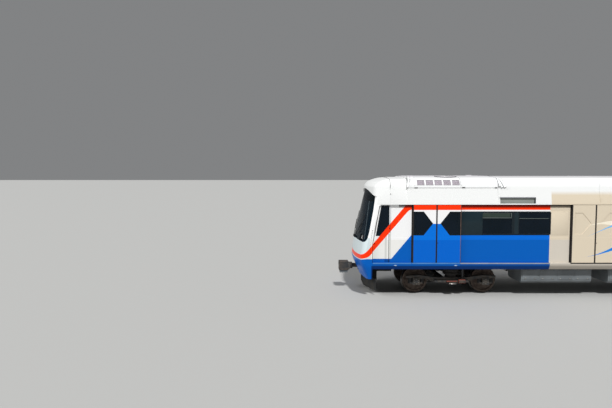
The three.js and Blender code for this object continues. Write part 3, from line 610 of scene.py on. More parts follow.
def livery():
    """The car's colours by place."""
    s, true_z = car_place()
    # The nose pattern dips towards the middle of the car.
    z = calc("ADD", true_z, ramp(s, -0.02, 0.30, 0.075, 0, "SMOOTHSTEP"))
    # The orange stripe is level at the nose, climbs at 50 degrees over the cab door and runs on under the
    # cornice.
    bent = calc("SMOOTH_MAX", slanting(s, STRIPE_TOP), STRIPE_TOP[3], NOSE_BEND)
    top = calc("SMOOTH_MIN", bent, BAND[1], CORNICE_BEND)
    bent = calc("SMOOTH_MAX", slanting(s, STRIPE_FOOT), STRIPE_FOOT[3], NOSE_BEND)
    foot = calc("SMOOTH_MIN", bent, BAND[0], CORNICE_BEND)
    stripe = within(z, foot, top)
    # The blue is level below the cab, climbs to the first door and then stays below the windows.
    climb = calc("MAXIMUM", slanting(s, BLUE_TOP), BLUE_TOP[3])
    edge = calc("MINIMUM", climb, 2.45)
    # Painted shade: darker blue and white below the shade line, lighter above it as a painted sky reflection.
    upper = over(z, SHADE_SPLIT_Z)
    blue = blend(upper, "#005ab3", BLUE)
    white = blend(upper, "#e6e5e1", WHITE)
    white = blend(over(z, 3.029), white, "#e7e8e7")
    # Painted shade: the nose's white below the windows is a darker, bluish white, standing for the sky-lit
    # shade on it.
    nose = both(over(0.40, s), over(1.95, z))
    white = blend(nose, white, "#cdd9dc")
    # Painted shade: two shallow hollows beside the cab door's rear joint, and the step recess at its foot,
    # are painted darker.
    hollow_shade = calc("MAXIMUM", within(s, *HOLLOW_SHADES[0]), within(s, *HOLLOW_SHADES[1]))
    white = blend(both(hollow_shade, over(HOLLOW_SHADE_TOP, z)), white, "#d0d0cc")
    step = both(within(s, *STEP_RECESS_SHADE[0]), within(z, *STEP_RECESS_SHADE[1]))
    blue = blend(step, blue, "#00458f")
    painted = blend(over(edge, z), white, blue)
    painted = blend(stripe, painted, ORANGE)
    # The band between the window units, and the black print around the cab window, right up to the stripe.
    band = both(over(s, 3.32), within(z, *PRINT))
    front_edge = slope(z, CAB_PRINT["lean"], CAB_PRINT["s"] - CAB_PRINT["lean"] * CAB_PRINT["z"])
    cab = both(within(s, front_edge, CAB_PRINT["rear"]), within(z, *CAB_PRINT["heights"]), over(z, bent),
               calc("SUBTRACT", 1.0, stripe))
    lower_cab = both(within(s, *LOWER_PRINT[0]), within(z, *LOWER_PRINT[1]))
    painted = blend(calc("MAXIMUM", calc("MAXIMUM", band, cab), lower_cab), painted, BLACK_PRINT)
    # The film begins at the second doorway and ends softly on the roof's shoulder.
    filmed = over(s, FILM_START)
    film = film_print(s, z)
    # Painted shade: the film is greyer below the shade line.
    film = blend(calc("MULTIPLY", over(SHADE_SPLIT_Z, z), 0.60), film, "#c4c0ba")
    painted = blend(both(filmed, ramp(z, 3.33, 3.47, 1, 0)), painted, film)
    # Painted highlight: the paint is lightened along the crease.
    crease_highlight = both(within(z, *CREASE_HIGHLIGHT), over(s, 0.75))
    painted = blend(crease_highlight, painted, (1.12, 1.12, 1.12, 1), "MULTIPLY")
    # The roof greys on top, a painted shadow darkens the wall under the cornice,
    # and painted shade darkens the sill below the ledge.
    painted = blend(ramp(z, 3.88, 3.93), painted, ROOF_GREY)
    on_wall = both(over(s, 1.33), over(3.028, z))
    painted = blend(both(ramp(z, 2.915, 2.98, 0, 0.78), on_wall), painted, "#16080a")
    low = ramp(z, LEDGE_Z - 0.010, LEDGE_Z + 0.004, 0.72, 0)
    high = both(ramp(z, 1.075, 1.118, 0.40, 0), over(s, 3.3))
    ledge_shade = both(calc("MAXIMUM", low, high), over(s, 0.45), slope(filmed, -0.45, 1.0))
    return blend(ledge_shade, painted, blend(filmed, "#01164c", "#3a2f20"))


def placed(piece, place, turn=Matrix()):
    """A piece made about the origin, turned and moved to its place."""
    piece.data.transform(Matrix.Translation(place) @ turn)
    return piece


def fit_pair(name, parts):
    """Joins the left side's parts, and seats the piece and its mirror image on the car's body."""
    left = fit(join(f"{name}_left", parts))
    fit(copied(left, f"{name}_right", mirror=True))


# Polyurethane paint: a smooth gloss under a clear coat, with a faint orange peel.
car_paint = material("polyurethane_car_paint", {"Roughness": 0.3, "Specular IOR Level": 0.12})
lead(livery(), "Base Color")
roughened(0.02, 0.00005)
# Bitumen underseal: a thick, dull, dark grey skin sprayed on the floor's underside.
underseal = finish("sprayed_bitumen_underseal", "#232628", "#33312d", 0.2, 0.85,
                   specular=0.25, relief=(0.008, 0.001))
# Sheet vinyl with a fine fleck, heat welded at its seams.
vinyl = finish("flecked_vinyl_floor", "#6f767c", "#80878c", 0.004, 0.5)
# Extruded aluminium in its mill finish, silver grey.
aluminium = finish("extruded_aluminium", "#b9bcbf", "#c9cbcc", 0.3, 0.35, metal=0.85)
# The same aluminium, dull and tinted blue.
dulled = finish("dulled_aluminium", "#3d76b4", "#4f82b8", 0.3, 0.6)
# Enamelled plates, blank.
plate_white = finish("white_enamel_plate", "#93adc9", "#a3b8ce", 0.02, 0.4)

dressed("underframe", "underframe_and_sills", [car_paint, underseal],
        lambda at, normal: int(abs(at.y) <= 1.48 and (normal.z <= 0.9 or at.z <= 1.14)), 0.003)
fit(block("vinyl_floor", (NOSE_X + 0.50, -1.419, 1.1475), (NOSE_X + 20.89, 1.419, 1.1500), vinyl, 0.001, 1))

# The ledge's outer edge carries the doors' guide rail, and a black threshold strip under doors 2 to 4.
# Columns: start and end behind the nose, finish.
RAIL_SPANS = [
    (0.50, 1.742, dulled), (1.765, 3.315, dulled), (3.318, FILM_START, aluminium),
    (FILM_START, 6.860, car_paint), (8.422, 11.953, car_paint), (13.522, 17.053, car_paint),
    (18.622, 20.88, car_paint),
]
rails = [block("guide_rail", (NOSE_X + start, -1.5645, 1.116), (NOSE_X + end, -1.552, 1.1505), coat)
         for start, end, coat in RAIL_SPANS]
for x in DOOR_CENTRES[1:]:
    rails.append(block("threshold_strip", (x - 0.775, -1.5625, 1.118), (x + 0.775, -1.552, 1.150), rubber))
for s in (1.225, 3.17, 18.17, 20.12):
    plate = turned("blank_oval_plate", [(0.015, 0), (0.015, -0.0015), (0.0135, -0.002)],
                   (0, 0, 0), plate_white, sides=32)
    rails.append(placed(plate, (NOSE_X + s, -1.5605, 1.0655), Matrix.Diagonal((3.2, 1, 1, 1))))
fit_pair("guide_rails", rails)

# Brake and air pipes run in hangers under the cross members.
pipes = [turned("air_pipe", [(radius, 0), (radius, 9.5)], (NOSE_X + 5.0, y, PIPE_Z), zinc, axis="x", sides=16)
         for y, radius in ((-0.05, 0.014), (0.05, 0.017), (0.15, 0.011))]
for s in (5.6, 8.04, 10.48, 12.92):
    x = NOSE_X + s
    pipes.append(block("pipe_hanger", (x - 0.02, -0.09, PIPE_Z - 0.024), (x + 0.02, 0.19, 0.966), underseal))
fit(join("air_pipes", pipes))


# Underfloor boxes.
# Folded and welded steel cases on brackets, powder coated. Their outer faces carry lids with a hinge above
# and two quarter-turn latches below. The brake resistor is bare stainless with slots, the compressor has a
# grille.
LID_TOP = 0.8697
LID_WIDTH = 0.6
SLAT_PITCH = 0.021
# Columns: node, behind the nose from and to, outer face, foot, slots.
BOXES = [
    ("traction_inverter", 5.400, 7.700, -1.302, 0.440, 0),
    ("brake_resistor", 5.500, 7.400, 1.302, 0.520, 9),
    ("auxiliary_converter", 8.250, 10.600, -1.302, 0.430, 0),
    ("battery_box", 8.100, 9.800, 1.302, 0.560, 4),
    ("air_compressor", 10.500, 12.000, 1.302, 0.500, 10),
    ("line_reactor", 12.400, 14.100, -1.302, 0.520, 10),
]
LATCH_ROWS = [(0.019, 0), (0.019, 0.006), (0.015, 0.009)]
# Powder coat: an even, slightly pebbled grey, a little mottled.
boxes_paint = finish("powder_coated_equipment_box", "#62676a", "#71777a", 0.5, 0.5, relief=(0.003, 0.0002))
# Bare stainless sheet, straw coloured where the resistor has heated it.
heated_stainless = finish("heat_tinted_stainless_sheet", "#a39a8b", "#b6b4b0", 0.3, 0.34, metal=1)
for node, start, end, face, foot, slots in BOXES:
    body_paint = heated_stainless if node == "brake_resistor" else boxes_paint
    dressed(node, f"{node}_case", body_paint, None, 0.006)
    out = math.copysign(1, face)
    count = round((end - start) / LID_WIDTH)
    width = (end - start) / count
    x = NOSE_X + start
    parts = []
    for along in (0.13, width - 0.13):
        parts += [
            turned("lid_latch", [(r, out * d) for r, d in LATCH_ROWS],
                   (x + along, face, foot + 0.142), zinc, sides=20),
            block("latch_handle", (x + along - 0.016, face + out * 0.006, foot + 0.138),
                  (x + along + 0.016, face + out * 0.013, foot + 0.146), zinc, 0.0015),
        ]
    for along in (0.12, width - 0.17):
        parts.append(turned("lid_hinge", [(0.008, 0), (0.008, 0.05)],
                            (x + along, face + out * 0.002, LID_TOP - 0.004),
                            zinc, axis="x", sides=12))
    for i in range(slots):
        z = foot + 0.18 + i * SLAT_PITCH
        parts.append(block("slat", (x + 0.10, face - out * 0.002, z),
                           (x + width - 0.10, face + out * 0.009, z + 0.011),
                           underseal if node == "battery_box" else body_paint, 0.002))
    lid_set = join(f"{node}_lid_fittings", parts)
    sets = [lid_set] + [copied(lid_set, "lid_fittings", move=(i * width, 0, 0)) for i in range(1, count)]
    for along in (0.25, end - start - 0.25):
        sets.append(block("case_bracket", (x + along - 0.03, face - out * 0.20, 0.940),
                          (x + along + 0.03, face - out * 0.02, 1.062), underseal, 0.004))
    fit(join(f"{node}_fittings", sets))


# Couplers.
# In front a cast steel automatic head with a machined face, a guide cone's pocket and air seals, a box for
# the electric contacts below it and a release lever beside it. Behind, a forged drawbar with a bolted face
# plate.
COUPLER_FACE = -10.9
SEAL_ROWS = [(0.030, 0.002), (0.030, -0.003), (0.024, -0.004), (0.020, 0.000), (0.008, 0.001)]
CONE_ROWS = [(0.062, 0.004), (0.062, -0.004), (0.050, -0.008), (0.034, -0.0085), (0.014, -0.009)]
LEVER_ROWS = [(0.012, 0), (0.012, 0.17), (0.020, 0.175), (0.020, 0.21)]
NUT_ROWS = [(0.018, 0.002), (0.018, -0.016), (0.014, -0.019)]
dressed("front_coupler", "cast_coupler_head", bogie_paint, None, 0.008)
dressed("rear_drawbar", "forged_drawbar", bogie_paint, None, 0.008)
parts = [turned("air_seal", SEAL_ROWS, (COUPLER_FACE, y, 0.905), rubber, axis="x", sides=32)
         for y in (-0.115, -0.045)]
parts += [
    turned("guide_cone", CONE_ROWS, (COUPLER_FACE, -0.095, 0.790), bright_steel, axis="x", sides=32),
    block("electric_head", (-10.87, -0.15, 0.560), (-10.60, 0.15, 0.652), boxes_paint, 0.008, 3),
    block("electric_head_flap", (-10.878, -0.135, 0.572), (-10.868, 0.135, 0.642), zinc),
    turned("release_lever", LEVER_ROWS, (-10.55, -0.205, 0.70), zinc, axis="z", sides=16),
    block("lever_mount", (-10.60, -0.225, 0.690), (-10.53, -0.180, 0.740), bogie_paint, 0.004),
]
parts += [turned("face_bolt", NUT_ROWS, (10.85, y, z), zinc, axis="x", sides=6)
          for y in (-0.11, 0.11) for z in (0.70, 0.90)]
fit(join("coupler_fittings", parts))


# Side walls.
# Aluminium panels painted outside and lined with melamine board inside, let in between sill and cornice.
# Rubber seals stand at each doorway and a dark brush strip closes the gap under the cornice above the doors;
# the strip is dark also as a painted shadow of the cornice.
WALL_FACE = 1.485
LOCK_ROWS = [(0.018, 0.002), (0.018, -0.004), (0.014, -0.006)]
# High-pressure laminate: a pale grey, smooth and slightly glossy lining.
lining = finish("melamine_lining", "#cfd1ce", "#d9dad6", 0.4, 0.45)
# Black sealing compound and brush strips: matt.
brush = finish("black_brush_strip", "#0c0d0e", "#17181a", 0.01, 0.9, specular=0.1)
# Brushed aluminium, very pale.
pale = finish("brushed_aluminium_trim", "#e4e6ea", "#f0f1f3", 0.2, 0.32, metal=0.5)
for side_name, side in SIDES.items():
    dressed(f"side_wall_{side_name}", f"side_panel_{side_name}", [car_paint, lining, brush],
            lambda at, normal: 0 if abs(at.y) > 1.482 else 1 if normal.y * side < -0.7 else 2,
            0.003)
# The dark strip under the cornice also stands for the cornice's shadow on the wall.
strips = [block("cornice_seal_and_shadow", (NOSE_X + 1.44, -1.4945, 3.010), (NOSE_X + 20.80, -1.487, 3.026), rubber)]
for x in DOOR_CENTRES:
    strips += [block("doorway_seal", (x + start, -1.493, 1.150), (x + start + 0.025, -1.483, 3.026), rubber)
               for start in (-0.797, 0.778)]
    strips += [block("doorway_edge", (x + along - 0.012, -1.492, 1.152),
                     (x + along + 0.012, -1.424, 2.978), aluminium)
               for along in (-0.7, 0.7)]
fit_pair("doorway_strips", strips)
# A pale upright strip behind the cab window, a dark joint above and below the stripe, and two release locks.
marks = [block("window_trim", (NOSE_X + 1.026, -1.489, 2.425), (NOSE_X + 1.082, -1.484, 3.008), pale)]
for start, end, foot, top in ((1.009, 1.023, 1.152, 2.085), (1.047, 1.060, 2.120, 2.420)):
    marks.append(block("panel_joint", (NOSE_X + start, -1.4865, foot),
                       (NOSE_X + end, -1.484, top), brush, 0.0008, 1))
for s, z in ((1.045, 2.26), (0.558, 1.763)):
    marks.append(turned("release_lock", LOCK_ROWS, (NOSE_X + s, -WALL_FACE, z), brush, sides=24))
fit_pair("wall_marks", marks)


# Roof.
# A welded aluminium shell: cornice, side fascia, rounded shoulders and a ribbed top, painted outside and
# lined inside. A side display is let into each fascia; a rubber bead covers the ring seam behind the cab.
DISPLAY = {"from": 4.560, "to": 5.680, "foot": 3.065, "top": 3.245}
RING_SEAM = 1.05
# The shoulder's arc: middle, half axes, how far it flares at its foot, its turn in degrees and its steps.
SHOULDER = {"y": 1.170, "z": 3.580, "across": 0.330, "up": 0.300, "flare": 0.06, "turn": 80, "steps": 10}
# Black anodised aluminium: the display's frame, dark on its reveals and right stile also as the recess's
# painted shadow.
anodised = finish("black_anodised_aluminium", "#1d2930", "#26333a", 0.3, 0.4, metal=0.3)
# Grey lacquer on the display's hood, dark also as the recess's painted shadow along its top.
hood_and_shadow_grey = finish("grey_lacquered_hood", "#6a6b74", "#75767e", 0.2, 0.5)
# Smoked acrylic in front of the display: grey-green, blank, half matt.
smoked = finish("smoked_acrylic_display_cover", "#878d88", "#8e948f", 0.4, 0.3)


def roof_line(proud):
    """Points over the car's outer section from one cornice to the other, raised by some height."""
    half = [(1.560 + proud, 3.050), (1.560 + proud, 3.088)]
    for i in range(SHOULDER["steps"] + 1):
        share = i / SHOULDER["steps"]
        turn = math.radians(SHOULDER["turn"] * share)
        across = SHOULDER["across"] + proud + SHOULDER["flare"] * (1 - share) ** 4
        half.append((SHOULDER["y"] + across * math.cos(turn),
                     SHOULDER["z"] + (SHOULDER["up"] + proud) * math.sin(turn)))
    half.append((0.546, 3.925 + proud))
    return half + [(-y, z) for y, z in reversed(half)]


def tube(name, points, radius, coat, closed=False):
    """A round bead along a line: a poly curve with a bevel, made a mesh."""
    line = bpy.data.curves.new(name, "CURVE")
    line.dimensions = "3D"
    line.bevel_depth = radius
    line.bevel_resolution = 2
    line.use_fill_caps = not closed
    spline = line.splines.new("POLY")
    spline.points.add(len(points) - 1)
    spline.use_cyclic_u = closed
    for point, place in zip(spline.points, points):
        point.co = (*place, 1)
    made = bpy.data.objects.new(name, line)
    bpy.context.scene.collection.objects.link(made)
    choose(made)
    bpy.ops.object.convert(target="MESH")
    made = bpy.context.active_object
    made.name = name
    smooth(50)
    return coated(made, coat)


def roof_finish(at, normal):
    """Smoked cover and black frame in the display's recess, the frame also painted shadow on its reveals;
    lining under the ceiling, paint elsewhere.
    """
    s = at.x - NOSE_X
    in_height = DISPLAY["foot"] - 0.01 < at.z < DISPLAY["top"] + 0.01
    if in_height and 1.50 < abs(at.y) < 1.5585 and DISPLAY["from"] - 0.01 < s < DISPLAY["to"] + 0.01:
        return 2 if abs(normal.y) > 0.7 else 3
    return int(normal.z < -0.05 and abs(at.y) < 1.415)


dressed("roof_shell", "welded_roof", [car_paint, lining, smoked, anodised], roof_finish, 0.002)
seam_line = [(-1.5275, 3.370)] + roof_line(-0.0325)[2:-2] + [(1.5275, 3.370)]
beads = [tube("ring_seam_bead", [(NOSE_X + RING_SEAM, y, z) for y, z in seam_line], 0.005, brush)]
for s in (4.50, 7.75, 10.4, 12.9, 15.3, 19.4):
    beads.append(tube("roof_seam", [(NOSE_X + s, y, z) for y, z in roof_line(0.0)], 0.0035, car_paint))
start, end = NOSE_X + DISPLAY["from"], NOSE_X + DISPLAY["to"]
for side in (-1, 1):
    beads += [
        # The dark hood along the display's top and dark stile at its right also stand for the recess's
        # shadow.
        block("display_hood", (start - 0.025, side * 1.5570, DISPLAY["top"] - 0.002),
              (end + 0.010, side * 1.5625, DISPLAY["top"] + 0.022), hood_and_shadow_grey, 0.001, 1),
        block("display_stile", (end - 0.012, side * 1.5570, DISPLAY["foot"]),
              (end + 0.010, side * 1.5625, DISPLAY["top"] + 0.020), anodised, 0.001, 1),
        block("drip_rail", (NOSE_X + RING_SEAM + 0.01, side * 1.556, 3.030),
              (NOSE_X + 20.89, side * 1.566, 3.046),
              car_paint),
        turned("seam_plug", [(0.013, 0), (0.013, side * 0.003), (0.010, side * 0.004)],
               (NOSE_X + 1.054, side * 1.5300, 3.371), brush, sides=16),
    ]
fit(join("roof_beads", beads))


# Air conditioners.
# A moulded cover on the roof's own line over each unit, with five louvre panels a side, two condenser fans
# under wire grilles and lifting lugs at its ends, all screwed to a rubber gutter on the roof.
AC_STARTS = {"front": NOSE_X + 1.600, "rear": NOSE_X + 15.790}
AC_LENGTH = 2.990
LOUVRES = {"count": 5, "first": 0.305, "pitch": 0.282, "width": 0.236, "foot": 3.6555,
           "slats": 7, "rise": 0.021}
FAN = {"along": 1.360, "y": 0.880, "radius": 0.312, "floor": 3.862, "grille": 3.931, "gasket": 0.3475}
FAN_MOTOR_ROWS = [(0.075, FAN["floor"] - 0.002), (0.075, 3.905), (0.062, 3.915), (0.020, 3.917)]
SCREW_ROWS = [(0.007, 0.003), (0.007, -0.004), (0.004, -0.006)]
# Moulded polyester cover: a warm white gel coat, slightly greyed on top.
cover_coat = material("gel_coated_cover", {"Roughness": 0.35, "Specular IOR Level": 0.16})
lead(blend(ramp(car_place()[1], 3.89, 3.94), "#e7e8e8", ROOF_GREY), "Base Color")
# Anodised louvre blades.
louvre_grey = finish("anodised_louvre_blade", "#c9c0c9", "#d3cad3", 0.1, 0.5)
# Dusty sheet steel in the dark chamber behind them.
chamber = finish("dark_condenser_chamber", "#2c2530", "#3a3240", 0.03, 0.8)


def cover_face(z, proud=0.015):
    """How far from the middle the cover's side stands at some height."""
    rise = (z - SHOULDER["z"]) / (SHOULDER["up"] + proud)
    return SHOULDER["y"] + (SHOULDER["across"] + proud) * math.sqrt(1 - rise * rise)


def cover_finish(at, normal):
    """The dark chamber behind the louvres and under the fans, gel coat elsewhere."""
    if abs(at.y) < 1.40 and abs(normal.y) > 0.9 and 3.64 < at.z < 3.82:
        return 1
    reach = math.hypot(at.x - fan_x, abs(at.y) - FAN["y"])
    in_fan = reach < FAN["radius"] + 0.002 and 3.855 < at.z < 3.945
    return int(in_fan and (abs(normal.z) < 0.5 or at.z < 3.87))


def wire_ring(name, centre, radius, wire, coat, around=40, sides=6, tilt=0.0):
    """A ring of round wire, level or tilted about the X axis."""
    made = primitive(name, bpy.ops.mesh.primitive_torus_add, location=centre, rotation=(tilt, 0, 0),
                     major_radius=radius, minor_radius=wire, major_segments=around, minor_segments=sides)
    smooth(60)
    return coated(made, coat)


start = AC_STARTS["front"]
slats = []
for i in range(LOUVRES["slats"]):
    z = LOUVRES["foot"] + i * LOUVRES["rise"]
    face = cover_face(z + 0.0075)
    low = start + LOUVRES["first"] + 0.003
    high = start + LOUVRES["first"] + LOUVRES["width"] - 0.003
    slats.append(block("louvre_blade", (low, -face - 0.001, z),
                       (high, -face + 0.045, z + 0.0145), louvre_grey,
                       0.003, 1))
panel = join("louvre_panel", slats)
panels = join("louvre_panels", [panel] + [copied(panel, "louvre_panel", move=(i * LOUVRES["pitch"], 0, 0))
                                          for i in range(1, LOUVRES["count"])])
fan_x = start + FAN["along"]
fan_place = Vector((fan_x, -FAN["y"], 0))
grille_place = (fan_x, -FAN["y"], FAN["grille"])
fan = [wire_ring("fan_wire", grille_place, radius, 0.0035, zinc) for radius in (0.08,
                                                                                0.135, 0.19, 0.245, 0.30)]
for i in range(4):
    spoke = block("fan_spoke", (-0.312, -0.004, -0.006), (0.312, 0.004, 0.002), zinc, 0.0015)
    fan.append(placed(spoke, grille_place, Matrix.Rotation(i * math.pi / 4, 4, "Z")))
# A rubber gasket seals the fan's ring against the cover's sloping top.
gasket = []
for i in range(40):
    turn = 2 * math.pi * i / 40
    y = FAN["y"] + FAN["gasket"] * math.sin(turn)
    gasket.append((fan_x + FAN["gasket"] * math.cos(turn), -y, min(3.926, 3.900 + (1.229 - y) * 0.064)))
fan.append(tube("fan_gasket", gasket, 0.012, chamber, closed=True))
fan.append(turned("fan_motor", FAN_MOTOR_ROWS, fan_place, chamber, axis="z", sides=32))
for i in range(6):
    blade = block("fan_blade", (0.068, -0.050, -0.003), (0.300, 0.050, 0.003), louvre_grey, 0.0025)
    pitched = Matrix.Rotation(i * math.pi / 3, 4, "Z") @ Matrix.Rotation(math.radians(22), 4, "X")
    fan.append(placed(blade, fan_place + Vector((0, 0, 3.892)), pitched))
fan = join("fan_under_grille", fan)
extras = []
for s, proud, radius in ((1.700, 0.0162, 0.003), (2.895, 0.0130, 0.007)):
    extras.append(tube("cover_seam", [(start + s, y, z) for y, z in roof_line(proud)[3:-3]], radius, chamber))
# White fairing beads close the gap between the cover's ends and the roof. Columns: place, lean, radius,
# depth.
for s, lean, radius, depth in ((-0.012, 0.30, 0.036, 0.030), (3.024, -0.31, 0.032, 0.028),
                               (3.118, -0.31, 0.042, 0.040)):
    line = [(start + s + lean * (z - 3.57), y, z) for y, z in roof_line(-depth) if z > 3.56]
    extras.append(tube("end_fairing", line, radius, cover_coat))
gutter = [(start + 0.22, -1.4985, 3.571), (start + 2.865, -1.4985, 3.571)]
edge_parts = [tube("gutter_seal", gutter, 0.005, rubber)]
# Rubber feet under the cover's edge. Columns: from, to, foot, top.
for low, high, foot, top in ((0.215, 0.320, 3.560, 3.582), (1.735, 1.840, 3.564, 3.590),
                             (2.790, 2.868, 3.560, 3.584), (2.890, 2.968, 3.584, 3.610)):
    edge_parts.append(block("cover_foot", (start + low, -1.5200, foot), (start + high, -1.498, top), rubber))
for s in (0.235, 1.725, 2.90):
    for z in (3.640, 3.740):
        edge_parts.append(turned("cover_screw", SCREW_ROWS, (start + s, -cover_face(z), z), zinc, sides=12))
for x, y in ((start + 0.130, -1.110), (start + AC_LENGTH - 0.240, 1.110)):
    extras.append(turned("lug_eye", [(0.024, -0.071), (0.024, 0.071)], (x, y, 3.918), louvre_grey, sides=24))
fittings = join("cover_fittings_front", both_sides(panels, fan, *edge_parts) + extras)
for end, start in AC_STARTS.items():
    fan_x = start + FAN["along"]
    dressed(f"air_conditioner_{end}", f"air_conditioner_cover_{end}", [cover_coat, chamber], cover_finish,
            0.002)
    if end == "rear":
        fittings = copied(fittings, "cover_fittings_rear", move=(start - AC_STARTS["front"], 0, 0))
    fit(fittings)


# Rear end wall and gangway.
# A painted plate closes the car, with the passage cut through it. Folded rubberised fabric bellows of five
# folds are clamped round the passage, with a tread plate inside them and a handrail on each side.
WALL_BACK = NOSE_X + 20.95
PASSAGE = {"half": 0.650, "foot": 1.150, "top": 3.150, "corner": 0.10}
FOLDS = 5
FOLD_LENGTH = 0.250
# Columns: reach outside the passage, distance behind the wall.
BELLOWS = [(reach, 0.002 + i * FOLD_LENGTH / FOLDS + along) for i in range(FOLDS)
           for reach, along in ((0.060, 0), (0.135, 0.019), (0.143, 0.024), (0.135, 0.029))]
BELLOWS.append((0.060, FOLD_LENGTH - 0.001))
TAIL_LAMP_ROWS = [(0.055, -0.002), (0.055, 0.012), (0.047, 0.020), (0.020, 0.023)]
# Polyurethane paint in a plain pale grey, a little dusty towards the sill.
end_paint = material("grey_polyurethane_end_paint", {"Roughness": 0.4, "Specular IOR Level": 0.2})
lead(blend(ramp(car_place()[1], 0.95, 2.0, 0.6, 0), "#d3d5d6", "#a39f98"), "Base Color")
# Neoprene-coated fabric: dark grey, matt, with the weave just visible.
fabric = finish("neoprene_coated_bellows_fabric", "#3a3d40", "#484b4e", 0.08, 0.8, specular=0.3,
                relief=(0.0015, 0.0002))
dressed("rear_end_wall", "rear_end_panel", [car_paint, lining, end_paint],
        lambda at, normal: 2 if normal.x > 0.5
        else int(normal.x < -0.9 or abs(at.y) < 0.66 and abs(normal.x) < 0.5), 0.003)


def passage_half(reach):
    """Half the width and half the height of the bellows at some reach outside the passage."""
    return PASSAGE["half"] + reach, (PASSAGE["top"] - PASSAGE["foot"]) / 2 + 0.4 * reach


middle_z = (PASSAGE["foot"] + PASSAGE["top"]) / 2
half_y, half_z = passage_half(BELLOWS[0][0])
folds = primitive("folded_bellows", bpy.ops.mesh.primitive_plane_add, (half_z, half_y, 1), size=2,
                  location=(WALL_BACK + BELLOWS[0][1], 0, middle_z), rotation=(0, math.pi / 2, 0))
with editing(folds):
    bpy.ops.mesh.bevel(offset=PASSAGE["corner"], segments=6, affect="VERTICES")
    bpy.ops.mesh.select_all(action="SELECT")
    bpy.ops.mesh.delete(type="ONLY_FACE")
    bpy.ops.mesh.select_all(action="SELECT")
    for (reach, at), (next_reach, next_at) in zip(BELLOWS, BELLOWS[1:]):
        bpy.ops.mesh.extrude_region_move(TRANSFORM_OT_translate={"value": (next_at - at, 0, 0)})
        grown = [b / a for a, b in zip(passage_half(reach), passage_half(next_reach))]
        bpy.ops.transform.resize(value=(1, *grown), center_override=(WALL_BACK + next_at, 0, middle_z))
    bpy.ops.mesh.select_all(action="SELECT")
    bpy.ops.mesh.normals_make_consistent(inside=False)
change(folds, "SOLIDIFY", thickness=0.004, offset=-1)
smooth(50)
fit(coated(folds, fabric))
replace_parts(folds, "gangway_bellows")
parts = []
for x in (WALL_BACK, WALL_BACK + FOLD_LENGTH - 0.012):
    for low, high in (((-0.715, 1.120), (-0.651, 3.180)), ((0.651, 1.120), (0.715, 3.180)),
                      ((-0.715, 3.151), (0.715, 3.185)), ((-0.715, 1.118), (0.715, 1.149))):
        parts.append(block("clamp_frame", (x, *low), (x + 0.012, *high), aluminium))
parts.append(block("tread_plate", (WALL_BACK - 0.03, -0.60, 1.1505), (WALL_BACK + 0.235, 0.60, 1.1575),
                   bright_steel, 0.002))
grip = [(WALL_BACK + out, -1.22, z) for out, z in ((-0.002, 1.42), (0.043, 1.42),
                                                   (0.055, 1.435), (0.055, 2.585),
                                                   (0.043, 2.60), (-0.002, 2.60))]
end_parts = [
    tube("end_handrail", grip, 0.015, zinc),
    block("jumper_socket", (WALL_BACK - 0.002, -1.10, 1.00), (WALL_BACK + 0.09, -0.84, 1.20),
          boxes_paint, 0.010, 3),
]
for z in (1.95, 2.30):
    end_parts.append(turned("blank_tail_lamp", TAIL_LAMP_ROWS, (WALL_BACK, -1.42, z),
                            smoked, axis="x", sides=32))
fit(join("end_wall_fittings", parts + both_sides(*end_parts)))


# Cab mask.
# One fibreglass moulding from skirt to brow, sprayed with the body. A bead of sealant runs along its joint
# with the side panel, and a finer one along the edge of its front lid, with a key plug at its upper end.
# The nose's foremost line. Columns: height, distance behind the nose.
NOSE_ROWS = [(1.150, -0.020), (1.360, 0.0), (1.753, 0.050), (3.700, 0.502)]
MASK_HALF = 1.56
SCREEN = {"width": 1.572, "bow": 0.17, "corner": 0.26, "wrap": 0.17, "inset": 0.008}
# Joints on the mask's side. Columns: distance behind the nose, height.
SIDE_JOINT = [
    (0.482, 1.160), (0.482, 1.210), (0.480, 1.754), (0.523, 1.922), (0.555, 2.110), (0.581, 2.281),
    (0.643, 2.644), (0.704, 2.990),
]
LID_JOINT = [(0.413, 1.277), (0.410, 1.666), (0.443, 1.932), (0.476, 2.183)]


def screen_place(y, z, proud=0.0):
    """The place on the windscreen's outer face at some distance from the middle and some height."""
    for (low, tip_low), (high, tip_high) in zip(NOSE_ROWS, NOSE_ROWS[1:]):
        if low <= z <= high:
            tip = tip_low + (tip_high - tip_low) * (z - low) / (high - low)
    width = SCREEN["width"]
    bend = max(0.0, min(1.0, (abs(y) - (width - SCREEN["corner"])) / SCREEN["corner"]))
    wrapped = SCREEN["wrap"] * (1 - math.sqrt(1 - bend * bend))
    s = tip + SCREEN["inset"] + SCREEN["bow"] * (y / width) ** 2 + wrapped
    return (NOSE_X + s - proud, y, z)


def mask_finish(at, normal):
    """Black behind the windscreen, underseal on the skirt's back, paint elsewhere."""
    behind_glass = 1.79 < at.z < 3.5 and abs(at.y) < 1.46 and at.x > screen_place(at.y, at.z, -0.03)[0]
    return 2 if behind_glass else int(at.z < 1.06 and normal.x > 0.6)


def on_mask(points, back=0.0, proud=0.0):
    """Points on the mask's left side."""
    return [(NOSE_X + s + back, -MASK_HALF - proud, z) for s, z in points]


dressed("cab_mask", "moulded_cab_mask", [car_paint, underseal, brush], mask_finish, 0.003)
joints = both_sides(
    tube("mask_joint", on_mask(SIDE_JOINT, proud=-0.001), 0.006, brush),
    tube("wide_joint", on_mask(SIDE_JOINT[4:], 0.002, -0.003), 0.011, brush),
    tube("lid_seam", on_mask(LID_JOINT, proud=0.0005), 0.0025, brush),
    turned("lid_key_plug", [(0.011, 0), (0.011, -0.003), (0.008, -0.004)],
           (NOSE_X + 0.478, -MASK_HALF, 2.195), brush,
           sides=16))
fit(join("mask_joints", joints))


